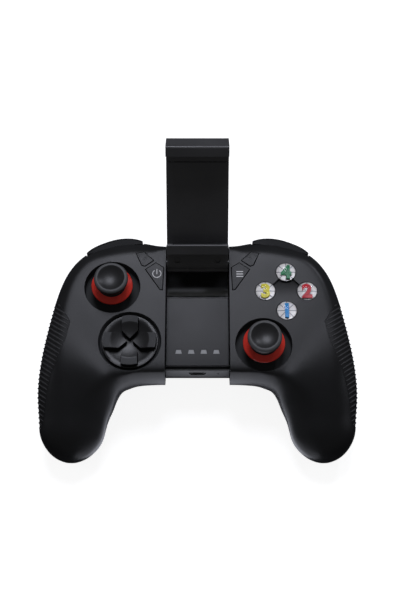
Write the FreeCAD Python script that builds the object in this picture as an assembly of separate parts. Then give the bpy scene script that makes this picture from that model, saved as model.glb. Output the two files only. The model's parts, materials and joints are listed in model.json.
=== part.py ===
import FreeCAD, Part
import math
import os

V = FreeCAD.Vector

# Overall shape. X to the right, Y away from the player, Z up from the table, millimetres.
half_width = 82.5
face_z = 38.0
handle_tip_y = -62.6
shoulder_y = 53.6
handle_top_drop = 11.0
wall = 2.0
seam_gap = 0.2
seam_rear_z = 30.5
seam_tip_z = 12.3
seam_level_y = 20.0

# Centre section between the two halves
bay_half_width = 16.7
centre_gap = 0.25
cheek = 2.0
panel_z = 30.0
panel_thickness = 1.8
panel_front_y = -16.6
bezel_front_y = -18.4
bezel_thickness = 1.6
bezel_top_z = 27.6
panel_back_y = 21.9
centre_rear_y = 50.3

# Clamp that swings up behind the centre section
hinge_y = 40.9
hinge_z = 33.5
arm_rest_angle = 46.6
arm_half_width = 16.1
arm_front = 3.0
arm_back = 4.5
arm_length = 56.0
trough_radius = 19.1
trough_wall = 1.8
jaw_start = 9.2
jaw_thickness = 2.5
jaw_opening = 52.1
lip_thickness = 1.8
lip_height = 2.3
jaw_reach = 9.4
upper_jaw_thickness = 3.2
slider_half_width = 12.0
slider_thickness = 2.6
slider_clearance = 0.35
slider_travel = 32.0
slider_engaged = 10.0
barrel_radius = 5.0
block_front = 4.6
block_low = -3.1
foot_mark = (10.6, 3.2, 1.7)
plate_mark = (4.6, -2.1, -0.5)
mark_depth = 0.6
hinge_pin_radius = 1.5
hinge_pin_clearance = 0.05
pad_thickness = 0.8

# Sticks
left_stick = (-44.6, 24.5)
right_stick = (34.0, -7.8)
socket_radius = 14.65
socket_floor_radius = 14.2
socket_depth = 4.5
socket_wall = 1.6
socket_hole_radius = 7.5
ring_outer_radius = 10.8
ring_inner_radius = 7.4
ring_edge_z = 40.4
ring_slope = 0.42
ring_thickness = 0.9
ring_seam = 0.05
stick_pivot_z = 30.0
stick_top_z = 50.0
stick_cap_radius = 8.75
stick_cap_height = 3.4
stick_rim_radius = 1.35
stick_press = 0.8
stick_dome_radius = 7.1
stick_dome_wall = 1.1
stick_dome_low = 4.6
stick_neck_radius = 3.2
stick_seat_radius = 6.4
stick_box_half = 8.4
stick_box_wall = 0.9
stick_post_radius = 1.3
stick_pin_radius = 0.8
pin_clearance = 0.05

# Buttons and keys
button_gap = 0.3
face_button_radius = 5.15
face_button_rise = 2.6
slope_depth = 1.1
face_button_centres = {
    "top": (46.5, 33.1),
    "left": (35.5, 22.2),
    "right": (57.3, 22.1),
    "bottom": (46.4, 11.1),
}
dpad_centre = (-34.8, -5.9)
dpad_well_radius = 16.25
dpad_disc_radius = 14.6
dpad_well_depth = 2.6
dpad_disc_z = 37.3
dpad_disc_bowl = (12.6, 2.2)
dpad_key_width = 8.2
dpad_key_reach = 13.6
dpad_key_start = 5.6
dpad_key_rise = 2.6
dpad_key_bowl = (10.2, 1.8)
dpad_press_radius = 8.2
menu_key_rise = 0.25
menu_key_fall = 0.8
menu_fall_start = 41.0
menu_fall_end = 46.5
power_key = [(-27.4, 34.7), (-22.0, 38.5), (-17.9, 35.7), (-18.4, 22.9), (-19.7, 23.2)]
select_key = [(-32.4, 44.1), (-28.4, 45.0), (-23.3, 39.9), (-27.8, 36.6), (-29.5, 37.3)]
flange = 0.9
menu_flange = 0.5
flange_thickness = 1.2

# Board, battery and what sits on them
board_top_z = 22.0
board_thickness = 1.6
battery_size = (34.0, 22.0, 3.8)
membrane_thickness = 1.0
usb_size = (8.0, 5.4, 2.9)

# Bumpers and triggers
bumper_low_z = 25.6
bumper_top_z = 34.6
bumper_gap = 0.4
bumper_front = [
    (29.6, 54.0), (33.2, 55.1), (38.2, 55.5), (44.2, 54.7), (50.6, 52.5), (56.2, 49.6), (59.4, 46.8),
]
bumper_back = [(58.6, 45.2), (43.0, 50.2), (29.2, 51.6)]
bumper_swing = 2.0
bumper_hinge = (31.4, 52.7)
bumper_pin_radius = 0.8
bumper_pin_length = 1.8
trigger_inner_x = 34.5
trigger_outer_x = 56.5
trigger_pivot = (46.0, 21.5)
trigger_gap = 0.5
trigger_pin_radius = 1.4

# Case screws
screw_shank_radius = 1.15
screw_head_radius = 2.2
screw_head_height = 1.6
screw_length = 12.0
screw_reach = 8.0
boss_radius = 3.4
screw_places = [
    (half_width - 16.5, -40.0), (24.0, 14.5), (half_width - 18.5, 2.0), (half_width - 20.5, 34.0),
]

# Grips on the outer sides of the handles
grip_rise = 0.4
grip_depth = 1.0
grip_low = 7.0
grip_pitch = 2.6
grip_groove = 1.7
grip_first = -56.0
grip_span = 86.0
grip_slant = 30.0
grip_lean = 20.0
grip_clearance = 0.1
grip_base = 0.2

# Smaller sizes
bumper_round = 1.9
led_pitch = 6.53
led_y = -8.7
battery_y = -3.0
dome_height = 2.6
stick_dish_depth = 1.9
dpad_flange = 1.6
dpad_flange_width = 1.2
dpad_well_flare = 1.0
dpad_travel = 0.8
face_travel = 1.0
menu_travel = 0.6
yoke_half_x = 5.7
yoke_half_y = 4.4
yoke_half_z = 1.7
yoke_window = 3.6
rocker_half_y = 2.6
stick_post_height = 8.0
hinge_pin_depth = 4.0
spring_start = 6.2


def box(x0, x1, y0, y1, z0, z1):
    return Part.makeBox(x1 - x0, y1 - y0, z1 - z0, V(x0, y0, z0))


def rod(radius, start, along, length):
    return Part.makeCylinder(radius, length, V(*start), V(*along))


def upright(radius, centre, z0, z1):
    return Part.makeCylinder(radius, z1 - z0, V(centre[0], centre[1], z0))


def cone(radius_low, radius_high, centre, z0, z1):
    return Part.makeCone(radius_low, radius_high, z1 - z0, V(centre[0], centre[1], z0))


def outline(points):
    corners = [V(x, y, 0) for x, y in points]
    return Part.Face(Part.makePolygon(corners + corners[:1]))


def grown(face, gap):
    return face.makeOffset2D(gap, join=0) if gap else face


def stand(face, z0, z1):
    piece = face.copy()
    piece.translate(V(0, 0, z0))
    return piece.extrude(V(0, 0, z1 - z0))


def side_profile(points, x0, x1):
    corners = [V(x0, y, z) for y, z in points]
    return Part.Face(Part.makePolygon(corners + corners[:1])).extrude(V(x1 - x0, 0, 0))


def mirrored(shape):
    return shape.mirror(V(0, 0, 0), V(1, 0, 0))


def rounded(shape, radius, wanted):
    edges = [e for e in shape.Edges if wanted(e)]
    return shape.makeFillet(radius, edges)


def is_upright(edge):
    ends = edge.Vertexes
    return len(ends) == 2 and abs(ends[0].X - ends[1].X) + abs(ends[0].Y - ends[1].Y) < 1e-6


def seam_z(y):
    share = (y - handle_tip_y) / (seam_level_y - handle_tip_y)
    share = min(max(share, 0.0), 1.0)
    return seam_tip_z + (seam_rear_z - seam_tip_z) * math.sin(share * math.pi / 2)


# Stations across the body, from the centre line round the shoulder and down the handle.
# Each holds inner edge, outer edge, top drop, belly heights inside and outside, and rolls.
def stations():
    w = half_width
    t = handle_top_drop
    return [
        ((0.0, -24.4), (0.0, centre_rear_y), 0, 16.2, 6.0, 3.5, 6, 10, 9),
        ((bay_half_width, -24.4), (bay_half_width, centre_rear_y + 0.5), 0, 16.2, 6.0, 3.5, 6, 10, 9),
        ((24.0, -24.5), (25.0, 52.2), 0, 15.0, 3.5, 3.5, 11, 11, 9),
        ((30.5, -24.9), (36.0, shoulder_y), 0, 13.2, 1.0, 4, 14, 12, 9),
        ((34.5, -25.8), (49.0, 51.0), 0, 11.0, -0.6, 4, 13, 12, 10),
        ((37.0, -26.6), (60.2, 45.6), 0, 10.0, -0.6, 5, 11, 12, 12),
        ((38.6, -27.5), (w - 13.2, 34.0), 0, 9.0, 0.2, 6, 11, 12, 15),
        ((39.8, -28.6), (w - 7.6, 17.0), 0, 7.0, 1.5, 8, 12, 12, 18),
        ((40.8, -30.2), (w - 3.7, -1.0), 0, 5.0, 2.5, 10, 14, 13, 18),
        ((42.0, -32.6), (w - 1.1, -16.0), t * 0.09, 2.5, 2.0, 13, 16, 14, 18),
        ((43.7, -36.8), (w - 0.1, -30.0), t * 0.32, 0.2, 0.2, 17, 19, 16, 18),
        ((46.4, -43.2), (w - 0.9, -42.0), t * 0.66, -0.5, -0.5, 18, 18, 16, 16),
    ]


# One closed section of the body, drawn in by inset on every side
def section(station, inset):
    inner, outer, drop, belly_in, belly_out, top_in, top_out, low_in, low_out = station
    run = math.hypot(outer[0] - inner[0], outer[1] - inner[1])
    ux = (outer[0] - inner[0]) / run
    uy = (outer[1] - inner[1]) / run
    a = inset
    b = run - inset
    top = face_z - drop - inset
    low_a = belly_in + inset
    low_b = belly_out + inset
    mid_a = seam_z(inner[1])
    mid_b = seam_z(outer[1])
    most = (b - a) / 2 - 0.3
    top_a, top_b, bot_a, bot_b = [min(max(r - inset, 1.0), most) for r in (top_in, top_out, low_in, low_out)]
    near = 0.57
    far = 1 - near
    points = [
        (a + near * top_a, top), (a + top_a, top), (b - top_b, top), (b - near * top_b, top),
        (b, mid_b + far * (top - mid_b)), (b, mid_b), (b, mid_b - far * (mid_b - low_b)),
        (b - near * bot_b, low_b), (b - bot_b, low_b), (a + bot_a, low_a), (a + near * bot_a, low_a),
        (a, mid_a - far * (mid_a - low_a)), (a, mid_a), (a, mid_a + far * (top - mid_a)),
    ]
    return [V(inner[0] + ux * s, inner[1] + uy * s, z) for s, z in points]


# The handle's end: the last section shrinks round an arc towards the tip
def tip_sections(last, inset):
    tip = V(half_width - 16.9, handle_tip_y + inset, seam_tip_z)
    middle = V(0, 0, 0)
    for point in last:
        middle = middle + point * (1.0 / len(last))
    rows = []
    for angle in (24, 44, 61, 75, 84):
        c = math.cos(math.radians(angle))
        s = math.sin(math.radians(angle))
        centre = middle + (tip - middle) * s
        rows.append([centre + (point - middle) * c for point in last])
    return rows


def body(inset):
    right = [section(s, inset) for s in stations()]
    right += tip_sections(right[-1], inset)
    left = [[V(-p.x, p.y, p.z) for p in row] for row in right[1:]]
    rows = left[::-1] + right
    steps = [float(i) for i in range(len(rows))]
    poles = []
    for column in zip(*rows):
        curve = Part.BSplineCurve()
        curve.interpolate(Points=list(column), Parameters=steps)
        poles.append(curve.getPoles())
    count = len(poles)
    skin = Part.BSplineSurface()
    skin.buildFromPolesMultsKnots(
        poles, [1] * (count + 1), curve.getMultiplicities(),
        [float(i) for i in range(count + 1)], curve.getKnots(), True, False, 3, 3)
    sides = []
    for start in (0.5, count / 2 + 0.5):
        side = skin.copy()
        side.segment(start, start + count / 2, steps[0], steps[-1])
        sides.append(side)
    caps = []
    for end in (steps[0], steps[-1]):
        caps.append(Part.Face(Part.Wire([side.vIso(end).toShape() for side in sides])))
    shell = Part.makeShell([side.toShape() for side in sides] + caps)
    shell.sewShape()
    solid = Part.makeSolid(shell)
    if solid.Volume < 0:
        solid.reverse()
    return solid


def smooth_side(points, x0, x1):
    curve = Part.BSplineCurve()
    curve.interpolate(Points=[V(x0, y, z) for y, z in points], PeriodicFlag=True)
    return Part.Face(Part.Wire(curve.toShape())).extrude(V(x1 - x0, 0, 0))


# Everything under the seam, as one block wide enough for the whole body
def below_seam(lift):
    ys = [handle_tip_y - 5 + i * (seam_level_y - handle_tip_y + 5) / 8 for i in range(9)] + [70.0]
    line = Part.BSplineCurve()
    line.interpolate(Points=[V(-90, y, seam_z(y) + lift) for y in ys])
    ends = [V(-90, 70, -10), V(-90, ys[0], -10)]
    low = Part.makePolygon([line.EndPoint] + ends + [line.StartPoint])
    return Part.Face(Part.Wire([line.toShape()] + low.Edges)).extrude(V(180, 0, 0))


# Inside the walls, less the cheeks that stand beside the centre section
def void():
    space = body(wall)
    x0 = bay_half_width
    x1 = bay_half_width + cheek
    low = board_top_z + usb_size[2] + 0.4
    back = panel_back_y - trough_wall
    points = [(-40, low), (back, low), (back, 0), (70, 0), (70, 60), (-40, 60)]
    side = side_profile(points, x0, x1)
    return space.cut([side, mirrored(side)])


def bumper_outline():
    curve = Part.BSplineCurve()
    curve.interpolate(Points=[V(x, y, 0) for x, y in bumper_front])
    back = Part.makePolygon([curve.EndPoint] + [V(x, y, 0) for x, y in bumper_back] + [curve.StartPoint])
    return Part.Face(Part.Wire([curve.toShape()] + back.Edges))


def bumper():
    piece = stand(bumper_outline(), bumper_low_z, bumper_top_z)
    middle = (bumper_low_z + bumper_top_z) / 2
    for radius, above in ((bumper_round, True), (bumper_round * 0.7, False)):
        rim = [e for e in piece.Edges if not is_upright(e) and e.BoundBox.YMax > bumper_front[2][1] - 1]
        rim = [e for e in rim if (e.BoundBox.ZMin > middle if above else e.BoundBox.ZMax < middle)]
        piece = piece.makeFillet(radius, rim)
    pin = upright(bumper_pin_radius, bumper_hinge, bumper_low_z - bumper_pin_length, bumper_low_z + 0.5)
    return piece.fuse(pin).removeSplitter()


# The bumper's hinge pin stands in a round hole in a boss of the lower casing
def bumper_boss(outer):
    top = bumper_low_z - bumper_gap
    return upright(bumper_pin_radius * 3, bumper_hinge, top - bumper_pin_length - 1.2, top).common(outer)


def bumper_bore():
    low = bumper_low_z - bumper_pin_length - 0.3
    return upright(bumper_pin_radius + pin_clearance, bumper_hinge, low, bumper_low_z)


# Room for the bumper and its swing, open towards the back
def bumper_pocket():
    g = bumper_gap
    hinge_x = bumper_hinge[0]
    end_x, end_y = bumper_front[-1]
    sweep = math.tan(math.radians(bumper_swing))
    inner = [(x + (g if x > 50 else 0), y - g - (x - hinge_x) * sweep) for x, y in bumper_back]
    start_x = bumper_back[-1][0] - g
    points = [(start_x, 75), (start_x, inner[-1][1])] + inner[:-1][::-1]
    points += [(end_x + g + 0.2, end_y), (end_x + g + 3, 75)]
    return stand(outline(points), bumper_low_z - g, bumper_top_z + g)


def trigger_blade():
    py, pz = trigger_pivot
    points = [
        (py - 4.0, pz), (py, pz + 3.6), (py + 6.0, pz + 3.0), (py + 11.5, pz - 1.5), (py + 14.6, pz - 8),
        (py + 15.4, pz - 14.0), (py + 13.4, pz - 16.6), (py + 11.4, pz - 14.0), (py + 9.2, pz - 8.0),
        (py + 4.5, pz - 4.4), (py, pz - 3.8),
    ]
    blade = smooth_side(points, trigger_inner_x, trigger_outer_x)
    crest = [(20, 58), (30, 59.5), (39.1, 61.5), (46.5, 60.4), (53, 57.2), (58.5, 52.4), (62, 47)]
    blade = blade.common(stand(outline([(20, 30)] + crest + [(62, 30)]), 0, 40))
    spring_room = rod(trigger_pin_radius + 1.9, (trigger_outer_x - 4.6, py, pz), (1, 0, 0), 5)
    bore = rod(trigger_pin_radius + pin_clearance, (trigger_inner_x - 1, py, pz), (1, 0, 0), 40)
    return blade.cut([bore, spring_room])


def trigger_pocket():
    py, pz = trigger_pivot
    g = trigger_gap
    top = bumper_low_z - bumper_gap + 0.1
    points = [
        (py - 4.6, top), (py - 4.6, pz - 3.0), (py - 1.5, pz - 5.2), (py + 1.5, pz - 8.5),
        (py + 3.4, pz - 13.0), (py + 4.6, 1.0), (80, 1.0), (80, top),
    ]
    return side_profile(points, trigger_inner_x - g, trigger_outer_x + g)


def trigger_pin():
    py, pz = trigger_pivot
    length = trigger_outer_x - trigger_inner_x + 6.0
    return rod(trigger_pin_radius, (trigger_inner_x - 3.0, py, pz), (1, 0, 0), length)


# Ears inside the casing that hold a trigger's pin at both ends
def trigger_ears(space):
    py, pz = trigger_pivot
    g = trigger_gap
    ears = []
    for x in (trigger_inner_x - g - 2.4, trigger_outer_x + g):
        ears.append(box(x, x + 2.4, py - 4.5, py + 5.0, 0, pz + 3.2))
    return ears[0].fuse(ears[1]).common(space)


def coil(radius, wire, pitch, height, start, along):
    spine = Part.makeHelix(pitch, height, radius)
    ring = Part.Wire(Part.Circle(V(radius, 0, 0), V(0, 1, 0), wire).toShape())
    turns = Part.Wire(spine.Edges).makePipeShell([ring], True, True)
    turn = FreeCAD.Rotation(V(0, 0, 1), V(*along))
    turns.Placement = FreeCAD.Placement(V(*start), turn)
    return turns


def trigger_spring():
    py, pz = trigger_pivot
    radius = trigger_pin_radius + 0.75
    x = trigger_outer_x + trigger_gap - 4.2
    return coil(radius, 0.25, 0.65, 3.2, (x, py, pz), (1, 0, 0))


def both_sides(shape):
    return [shape, mirrored(shape)]


# Screw bosses: a tube under the seam and a blind post above it
def boss_pair(place, outer, seam_block, seam_block_up):
    tube = upright(boss_radius, place, -2, face_z - wall / 2).common(outer)
    low = tube.common(seam_block)
    high = tube.cut(seam_block_up)
    return low, high


def screw_seat_z(place):
    return seam_z(place[1]) - screw_reach


def case_screws():
    screws = []
    for place in screw_places:
        x, y = place
        z = screw_seat_z(place)
        low = z - screw_head_height
        head = upright(screw_head_radius, place, low, z)
        shank = upright(screw_shank_radius, place, z, z + screw_length)
        cross = box(x - 1.2, x + 1.2, y - 0.3, y + 0.3, low, z - 0.8)
        slot = box(x - 0.3, x + 0.3, y - 1.2, y + 1.2, low, z - 0.8)
        screws += both_sides(head.fuse(shank).cut([cross, slot]).removeSplitter())
    return Part.makeCompound(screws)


def screw_holes():
    holes = []
    for place in screw_places:
        z = screw_seat_z(place)
        well = upright(screw_head_radius + 0.3, place, -5, z)
        pilot = upright(screw_shank_radius, place, z - 1, z + screw_length + 0.3)
        holes += both_sides(well.fuse(pilot))
    return holes


def socket_bowl(centre):
    low = face_z - socket_depth - socket_wall
    return cone(socket_floor_radius + socket_wall, socket_radius + socket_wall, centre, low, face_z - 0.3)


def socket_cut(centre):
    floor = face_z - socket_depth
    flare = (socket_radius - socket_floor_radius) / socket_depth
    funnel = cone(socket_floor_radius, socket_radius + flare, centre, floor, face_z + 1)
    hole = upright(socket_hole_radius, centre, floor - socket_wall - 1, floor + 1)
    return [funnel, hole]


def dpad_bowl():
    low = face_z - dpad_well_depth - socket_wall
    return upright(dpad_well_radius + socket_wall, dpad_centre, low, face_z - 0.3)


def dpad_cut():
    floor = face_z - dpad_well_depth
    flare = dpad_well_flare / dpad_well_depth
    well = cone(dpad_well_radius - dpad_well_flare, dpad_well_radius + flare, dpad_centre, floor, face_z + 1)
    hole = upright(dpad_disc_radius + 0.1, dpad_centre, floor - socket_wall - 1, floor + 1)
    return [well, hole]


def menu_faces():
    return {
        "power_key": power_key,
        "select_key": select_key,
        "menu_key": [(-x, y) for x, y in power_key],
        "start_key": [(-x, y) for x, y in select_key],
    }


# A shallow slope sunk between the face buttons, deepest at its far corner
def button_slope():
    left = face_button_centres["left"]
    right = face_button_centres["right"]
    top = face_button_centres["top"]
    low = face_button_centres["bottom"]
    plan = stand(outline([left, top, right, low]), face_z - 5, face_z + 5)
    tilt = slope_depth / (top[1] - low[1] - 2 * face_button_radius)
    start = low[1] + face_button_radius
    deep = tilt * (top[1] - start)
    points = [(start, face_z), (top[1], face_z - deep), (top[1], face_z + 5), (start, face_z + 5)]
    return plan.common(side_profile(points, left[0] - 5, right[0] + 5))


def face_holes():
    holes = []
    for centre in face_button_centres.values():
        holes.append(upright(face_button_radius + button_gap, centre, face_z - 6, face_z + 3))
    for points in menu_faces().values():
        holes.append(stand(grown(outline(points), button_gap), face_z - 6, face_z + 3))
    return holes


def grip_region(gap=0.0):
    w = half_width
    points = [
        (w + 12, 16.2), (w - 10.2, 15.7), (w - 16.7, 5.0), (w - 14.9, -3.6), (w - 10.3, -17.6),
        (w - 8.1, -22.0), (w - 5.5, -33.0), (w - 3.9, -46.5), (w + 12, -46.5),
    ]
    plan = stand(grown(outline(points), gap), 0, 60)
    drop = below_seam(-grip_low - gap)
    return plan.cut(drop)


def grip():
    region = grip_region()
    low = region.common(body(grip_base)).cut(body(grip_depth))
    slats = []
    for i in range(int(grip_span / grip_pitch)):
        y = grip_first + i * grip_pitch
        slat = box(half_width - 25, half_width + 13, y, y + grip_pitch - grip_groove, -5, 60)
        pivot = V(half_width - 7.5, y, 20)
        slat.rotate(pivot, V(0, 0, 1), grip_slant)
        slat.rotate(pivot, V(1, 0, 0), grip_lean)
        slats.append(slat)
    band = body(-grip_rise).cut(body(grip_base)).common(region)
    ribs = band.common(Part.makeCompound(slats))
    return low, ribs


def centre_cut():
    b = bay_half_width
    return box(-b, b, -60, 70, seam_rear_z - 20, 70)


def clamp_bay(space):
    reach = trough_radius + trough_wall
    length = 2 * (bay_half_width - centre_gap)
    start = (-length / 2, hinge_y, hinge_z)
    tube = rod(reach, start, (1, 0, 0), length).cut(rod(trough_radius, start, (1, 0, 0), length))
    top = panel_z - panel_thickness
    rear = centre_rear_y - wall - centre_gap
    keep = box(-length / 2, length / 2, hinge_y - reach, rear, 0, top)
    ribs = []
    for x in (-9.0, 0.0, 9.0):
        rib = box(x - 1, x + 1, hinge_y - 9, hinge_y + 4, 0, hinge_z - trough_radius - 0.5)
        ribs.append(rib.common(space).cut(rod(trough_radius + 0.4, start, (1, 0, 0), length)))
    return tube.common(keep).common(space).fuse(ribs).removeSplitter()


def centre_cover():
    w = bay_half_width - centre_gap
    plate = box(-w, w, panel_front_y, panel_back_y, panel_z - panel_thickness, panel_z)
    rim = [e for e in plate.Edges if e.BoundBox.ZMin > panel_z - 0.1]
    plate = plate.makeFillet(0.4, rim)
    return plate.cut([stand(outline(p), 0, 60) for p in led_outlines(0.0)])


def led_outlines(gap):
    faces = []
    for i in range(4):
        x = (i - 1.5) * led_pitch
        points = [(x - 1.7 - gap, led_y - 1.1 - gap), (x + 1.7 + gap, led_y - 1.1 - gap)]
        points += [(x + 1.2 + gap, led_y + 1.1 + gap), (x - 1.2 - gap, led_y + 1.1 + gap)]
        faces.append(points)
    return faces


def led_windows():
    low = panel_z - panel_thickness
    return Part.makeCompound([stand(outline(p), low, panel_z - 0.1) for p in led_outlines(0.0)])


def indicator_lights():
    lights = []
    for i in range(4):
        x = (i - 1.5) * led_pitch
        lights.append(box(x - 0.8, x + 0.8, led_y - 0.4, led_y + 0.4, board_top_z, board_top_z + 0.8))
    return Part.makeCompound(lights)


def bezel(space):
    w = bay_half_width - centre_gap
    f = bezel_front_y
    t = bezel_thickness
    under = panel_z - panel_thickness
    points = [
        (f, 10), (f + t, 10), (f + t, bezel_top_z - t), (f + 5.2, bezel_top_z - t), (f + 5.2, under),
        (panel_front_y + 0.3, under), (panel_front_y + 0.3, bezel_top_z), (f, bezel_top_z),
    ]
    piece = side_profile(points, -w, w).common(space)
    mouth = usb_mouth(0.35)
    hole = rod(0.55, (10.8, f - 1, usb_z()), (0, 1, 0), 5)
    return piece.cut([mouth, hole])


def usb_z():
    return board_top_z + usb_size[2] / 2


# The socket's outline, standing across the front, narrower along its lower edge
def usb_outline(gap, y):
    w, d, h = usb_size
    half = w / 2 + gap
    low = half - 1.1
    points = [(-low, -gap), (low, -gap), (half, h * 0.55), (half, h + gap)]
    points += [(-half, h + gap), (-half, h * 0.55)]
    corners = [V(x, y, board_top_z + z) for x, z in points]
    return Part.Face(Part.makePolygon(corners + corners[:1]))


def usb_mouth(gap):
    return usb_outline(gap, bezel_front_y - 1).extrude(V(0, 4, 0))


def usb_port():
    w, d, h = usb_size
    y = bezel_front_y + 0.5
    face = usb_outline(0.0, y)
    can = face.extrude(V(0, d, 0))
    inside = face.makeOffset2D(-0.35)
    inside.translate(V(0, -0.1, 0))
    z = board_top_z
    tongue = box(-w / 2 + 1.6, w / 2 - 1.6, y + 0.6, y + d - 0.4, z + h * 0.45, z + h * 0.7)
    block = box(-1, 1, y + d - 1, y + d, z + 0.4, z + h - 0.4)
    return can.cut(inside.extrude(V(0, d - 0.4, 0))).fuse([tongue, block])


def circuit_board():
    front = bezel_front_y + bezel_thickness + 0.3
    side = bay_half_width + cheek + 0.6
    back = panel_back_y - trough_wall - 0.6
    wing = [
        (0, front), (bay_half_width, front), (21, -18.5), (58, -17.0), (66, -6.0), (67, 20.0), (60, 34.0),
        (30.5, 35.0), (30.5, 42.5), (side, 42.5), (side, back), (0, back),
    ]
    left = [(-x, y) for x, y in wing[::-1]]
    face = outline(wing[:-1] + [(0, wing[-1][1])]).fuse(outline(left)).removeSplitter()
    z0 = board_top_z - board_thickness
    plate = stand(face, z0, board_top_z)
    holes = []
    for place in screw_places:
        holes += both_sides(upright(boss_radius + 0.5, place, 0, 60))
    return plate.cut(holes)


def battery_pack():
    w, d, h = battery_size
    top = board_top_z - board_thickness
    piece = box(-w / 2, w / 2, battery_y, battery_y + d, top - h, top)
    return rounded(piece, 1.2, lambda e: is_upright(e))


# Four separate thumb keys round a disc
def key_outline(angle, gap=0.0):
    h = dpad_key_width / 2
    points = [(20, -h), (20, h), (dpad_key_start, h), (dpad_key_start - h, 0), (dpad_key_start, -h)]
    face = grown(outline(points), gap)
    face = face.common(disc_face(dpad_key_reach + gap))
    face.rotate(V(0, 0, 0), V(0, 0, 1), angle)
    face.translate(V(dpad_centre[0], dpad_centre[1], 0))
    return face


def disc_face(radius, centre=(0.0, 0.0)):
    return Part.Face(Part.Wire(Part.makeCircle(radius, V(centre[0], centre[1], 0))))


def dpad_plate_low():
    return face_z - dpad_well_depth - socket_wall - 0.1 - dpad_flange


# A ball that cuts a round hollow of the given radius and depth below a level
def hollow(centre, level, radius, depth):
    ball = (radius ** 2 + depth ** 2) / (2 * depth)
    return Part.makeSphere(ball, V(centre[0], centre[1], level - depth + ball))


def dpad_key(angle):
    top = dpad_disc_z + dpad_key_rise
    low = dpad_plate_low() - 0.35
    key = stand(key_outline(angle), low - flange_thickness, top)
    lip = stand(key_outline(angle, flange), low - flange_thickness, low)
    foot = Part.makeCylinder(2.2, 30, V(dpad_press_radius, 0, membrane_top() + dpad_travel + 0.3))
    foot = foot.common(box(-20, 20, -20, 20, 0, low - 0.2))
    foot.rotate(V(0, 0, 0), V(0, 0, 1), angle)
    foot.translate(V(dpad_centre[0], dpad_centre[1], 0))
    return key.fuse([lip, foot]).cut(hollow(dpad_centre, top, *dpad_key_bowl)).removeSplitter()


def membrane_top():
    return board_top_z + membrane_thickness + dome_height


def dpad_plate():
    low = dpad_plate_low()
    disc = upright(dpad_disc_radius, dpad_centre, low, dpad_disc_z)
    rim = [e for e in disc.Edges if e.BoundBox.ZMin > dpad_disc_z - 0.1]
    disc = disc.makeFillet(0.3, rim)
    base = upright(dpad_disc_radius + dpad_flange_width, dpad_centre, low, low + dpad_flange)
    holes = [stand(key_outline(90 * i, button_gap), 0, 60) for i in range(4)]
    return disc.fuse(base).cut(holes + [hollow(dpad_centre, dpad_disc_z, *dpad_disc_bowl)]).removeSplitter()


def domes(face, centres):
    sheet = stand(face, board_top_z, board_top_z + membrane_thickness)
    z = board_top_z + membrane_thickness
    bumps = [cone(2.9, 2.0, c, z, z + dome_height) for c in centres]
    return sheet.fuse(bumps).removeSplitter()


def dpad_membrane():
    face = disc_face(12.0, dpad_centre)
    x, y = dpad_centre
    r = dpad_press_radius
    return domes(face, [(x + r, y), (x, y + r), (x - r, y), (x, y - r)])


def face_button_membrane():
    centres = list(face_button_centres.values())
    x = sum(c[0] for c in centres) / 4
    y = sum(c[1] for c in centres) / 4
    face = disc_face(14.6, (x, y))
    return domes(face, centres)


def key_centre(points):
    middle = outline(points).CenterOfMass
    return (middle.x, middle.y)


def menu_membranes():
    strips = []
    for names in (("power_key", "select_key"), ("menu_key", "start_key")):
        spots = [key_centre(menu_faces()[name]) for name in names]
        pads = [upright(2.9, spot, board_top_z, board_top_z + membrane_thickness) for spot in spots]
        z = board_top_z + membrane_thickness
        pads += [cone(2.4, 1.6, spot, z, z + dome_height) for spot in spots]
        link = box(-1.2, 1.2, 0, math.dist(spots[0], spots[1]), board_top_z, z)
        turn = math.degrees(math.atan2(spots[1][1] - spots[0][1], spots[1][0] - spots[0][0])) - 90
        link.rotate(V(0, 0, 0), V(0, 0, 1), turn)
        link.translate(V(spots[0][0], spots[0][1], 0))
        strips.append(clear_of_cheek(link.fuse(pads).removeSplitter()))
    return Part.makeCompound(strips)


def face_button(centre):
    under = face_z - wall - 0.35
    foot = membrane_top() + face_travel + 0.3
    top = face_z + face_button_rise
    post = upright(face_button_radius, centre, under - flange_thickness, top)
    rim = [e for e in post.Edges if e.BoundBox.ZMin > top - 0.1]
    post = post.makeFillet(1.9, rim)
    skirt = upright(face_button_radius + flange, centre, under - flange_thickness, under)
    stem = upright(2.2, centre, foot, under - flange_thickness)
    return post.fuse([skirt, stem]).removeSplitter()


# Keeps a piece beside the centre section clear of the cheek that stands there
def clear_of_cheek(shape):
    edge = bay_half_width + cheek + button_gap
    return shape.cut(box(-edge, edge, 0, 70, 0, 60))


# The casing's roof falls away behind this line, and the keys' tops and flanges with it
def fallen_roof(top):
    start = menu_fall_start
    end = menu_fall_end
    points = [(start, top), (end, top - menu_key_fall), (end, 60), (start, 60)]
    return side_profile(points, -half_width, half_width)


def menu_key(points):
    under = face_z - wall - 0.35
    foot = membrane_top() + menu_travel + 0.3
    top = face_z + menu_key_rise
    cap = stand(outline(points), under - flange_thickness, top)
    rim = [e for e in cap.Edges if e.BoundBox.ZMin > top - 0.1]
    cap = cap.makeFillet(0.2, rim).cut(fallen_roof(top))
    skirt = clear_of_cheek(stand(grown(outline(points), menu_flange), under - flange_thickness, under))
    skirt = skirt.cut(fallen_roof(under))
    stem = upright(1.6, key_centre(points), foot, under - flange_thickness)
    return cap.fuse([skirt, stem]).removeSplitter()


def ring_top_z(radius):
    return ring_edge_z + (ring_outer_radius - radius) * ring_slope


def spun(profile, centre):
    corners = [V(centre[0] + r, centre[1], z) for r, z in profile]
    face = Part.Face(Part.makePolygon(corners + corners[:1]))
    return face.revolve(V(centre[0], centre[1], 0), V(0, 0, 1), 360)


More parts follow.
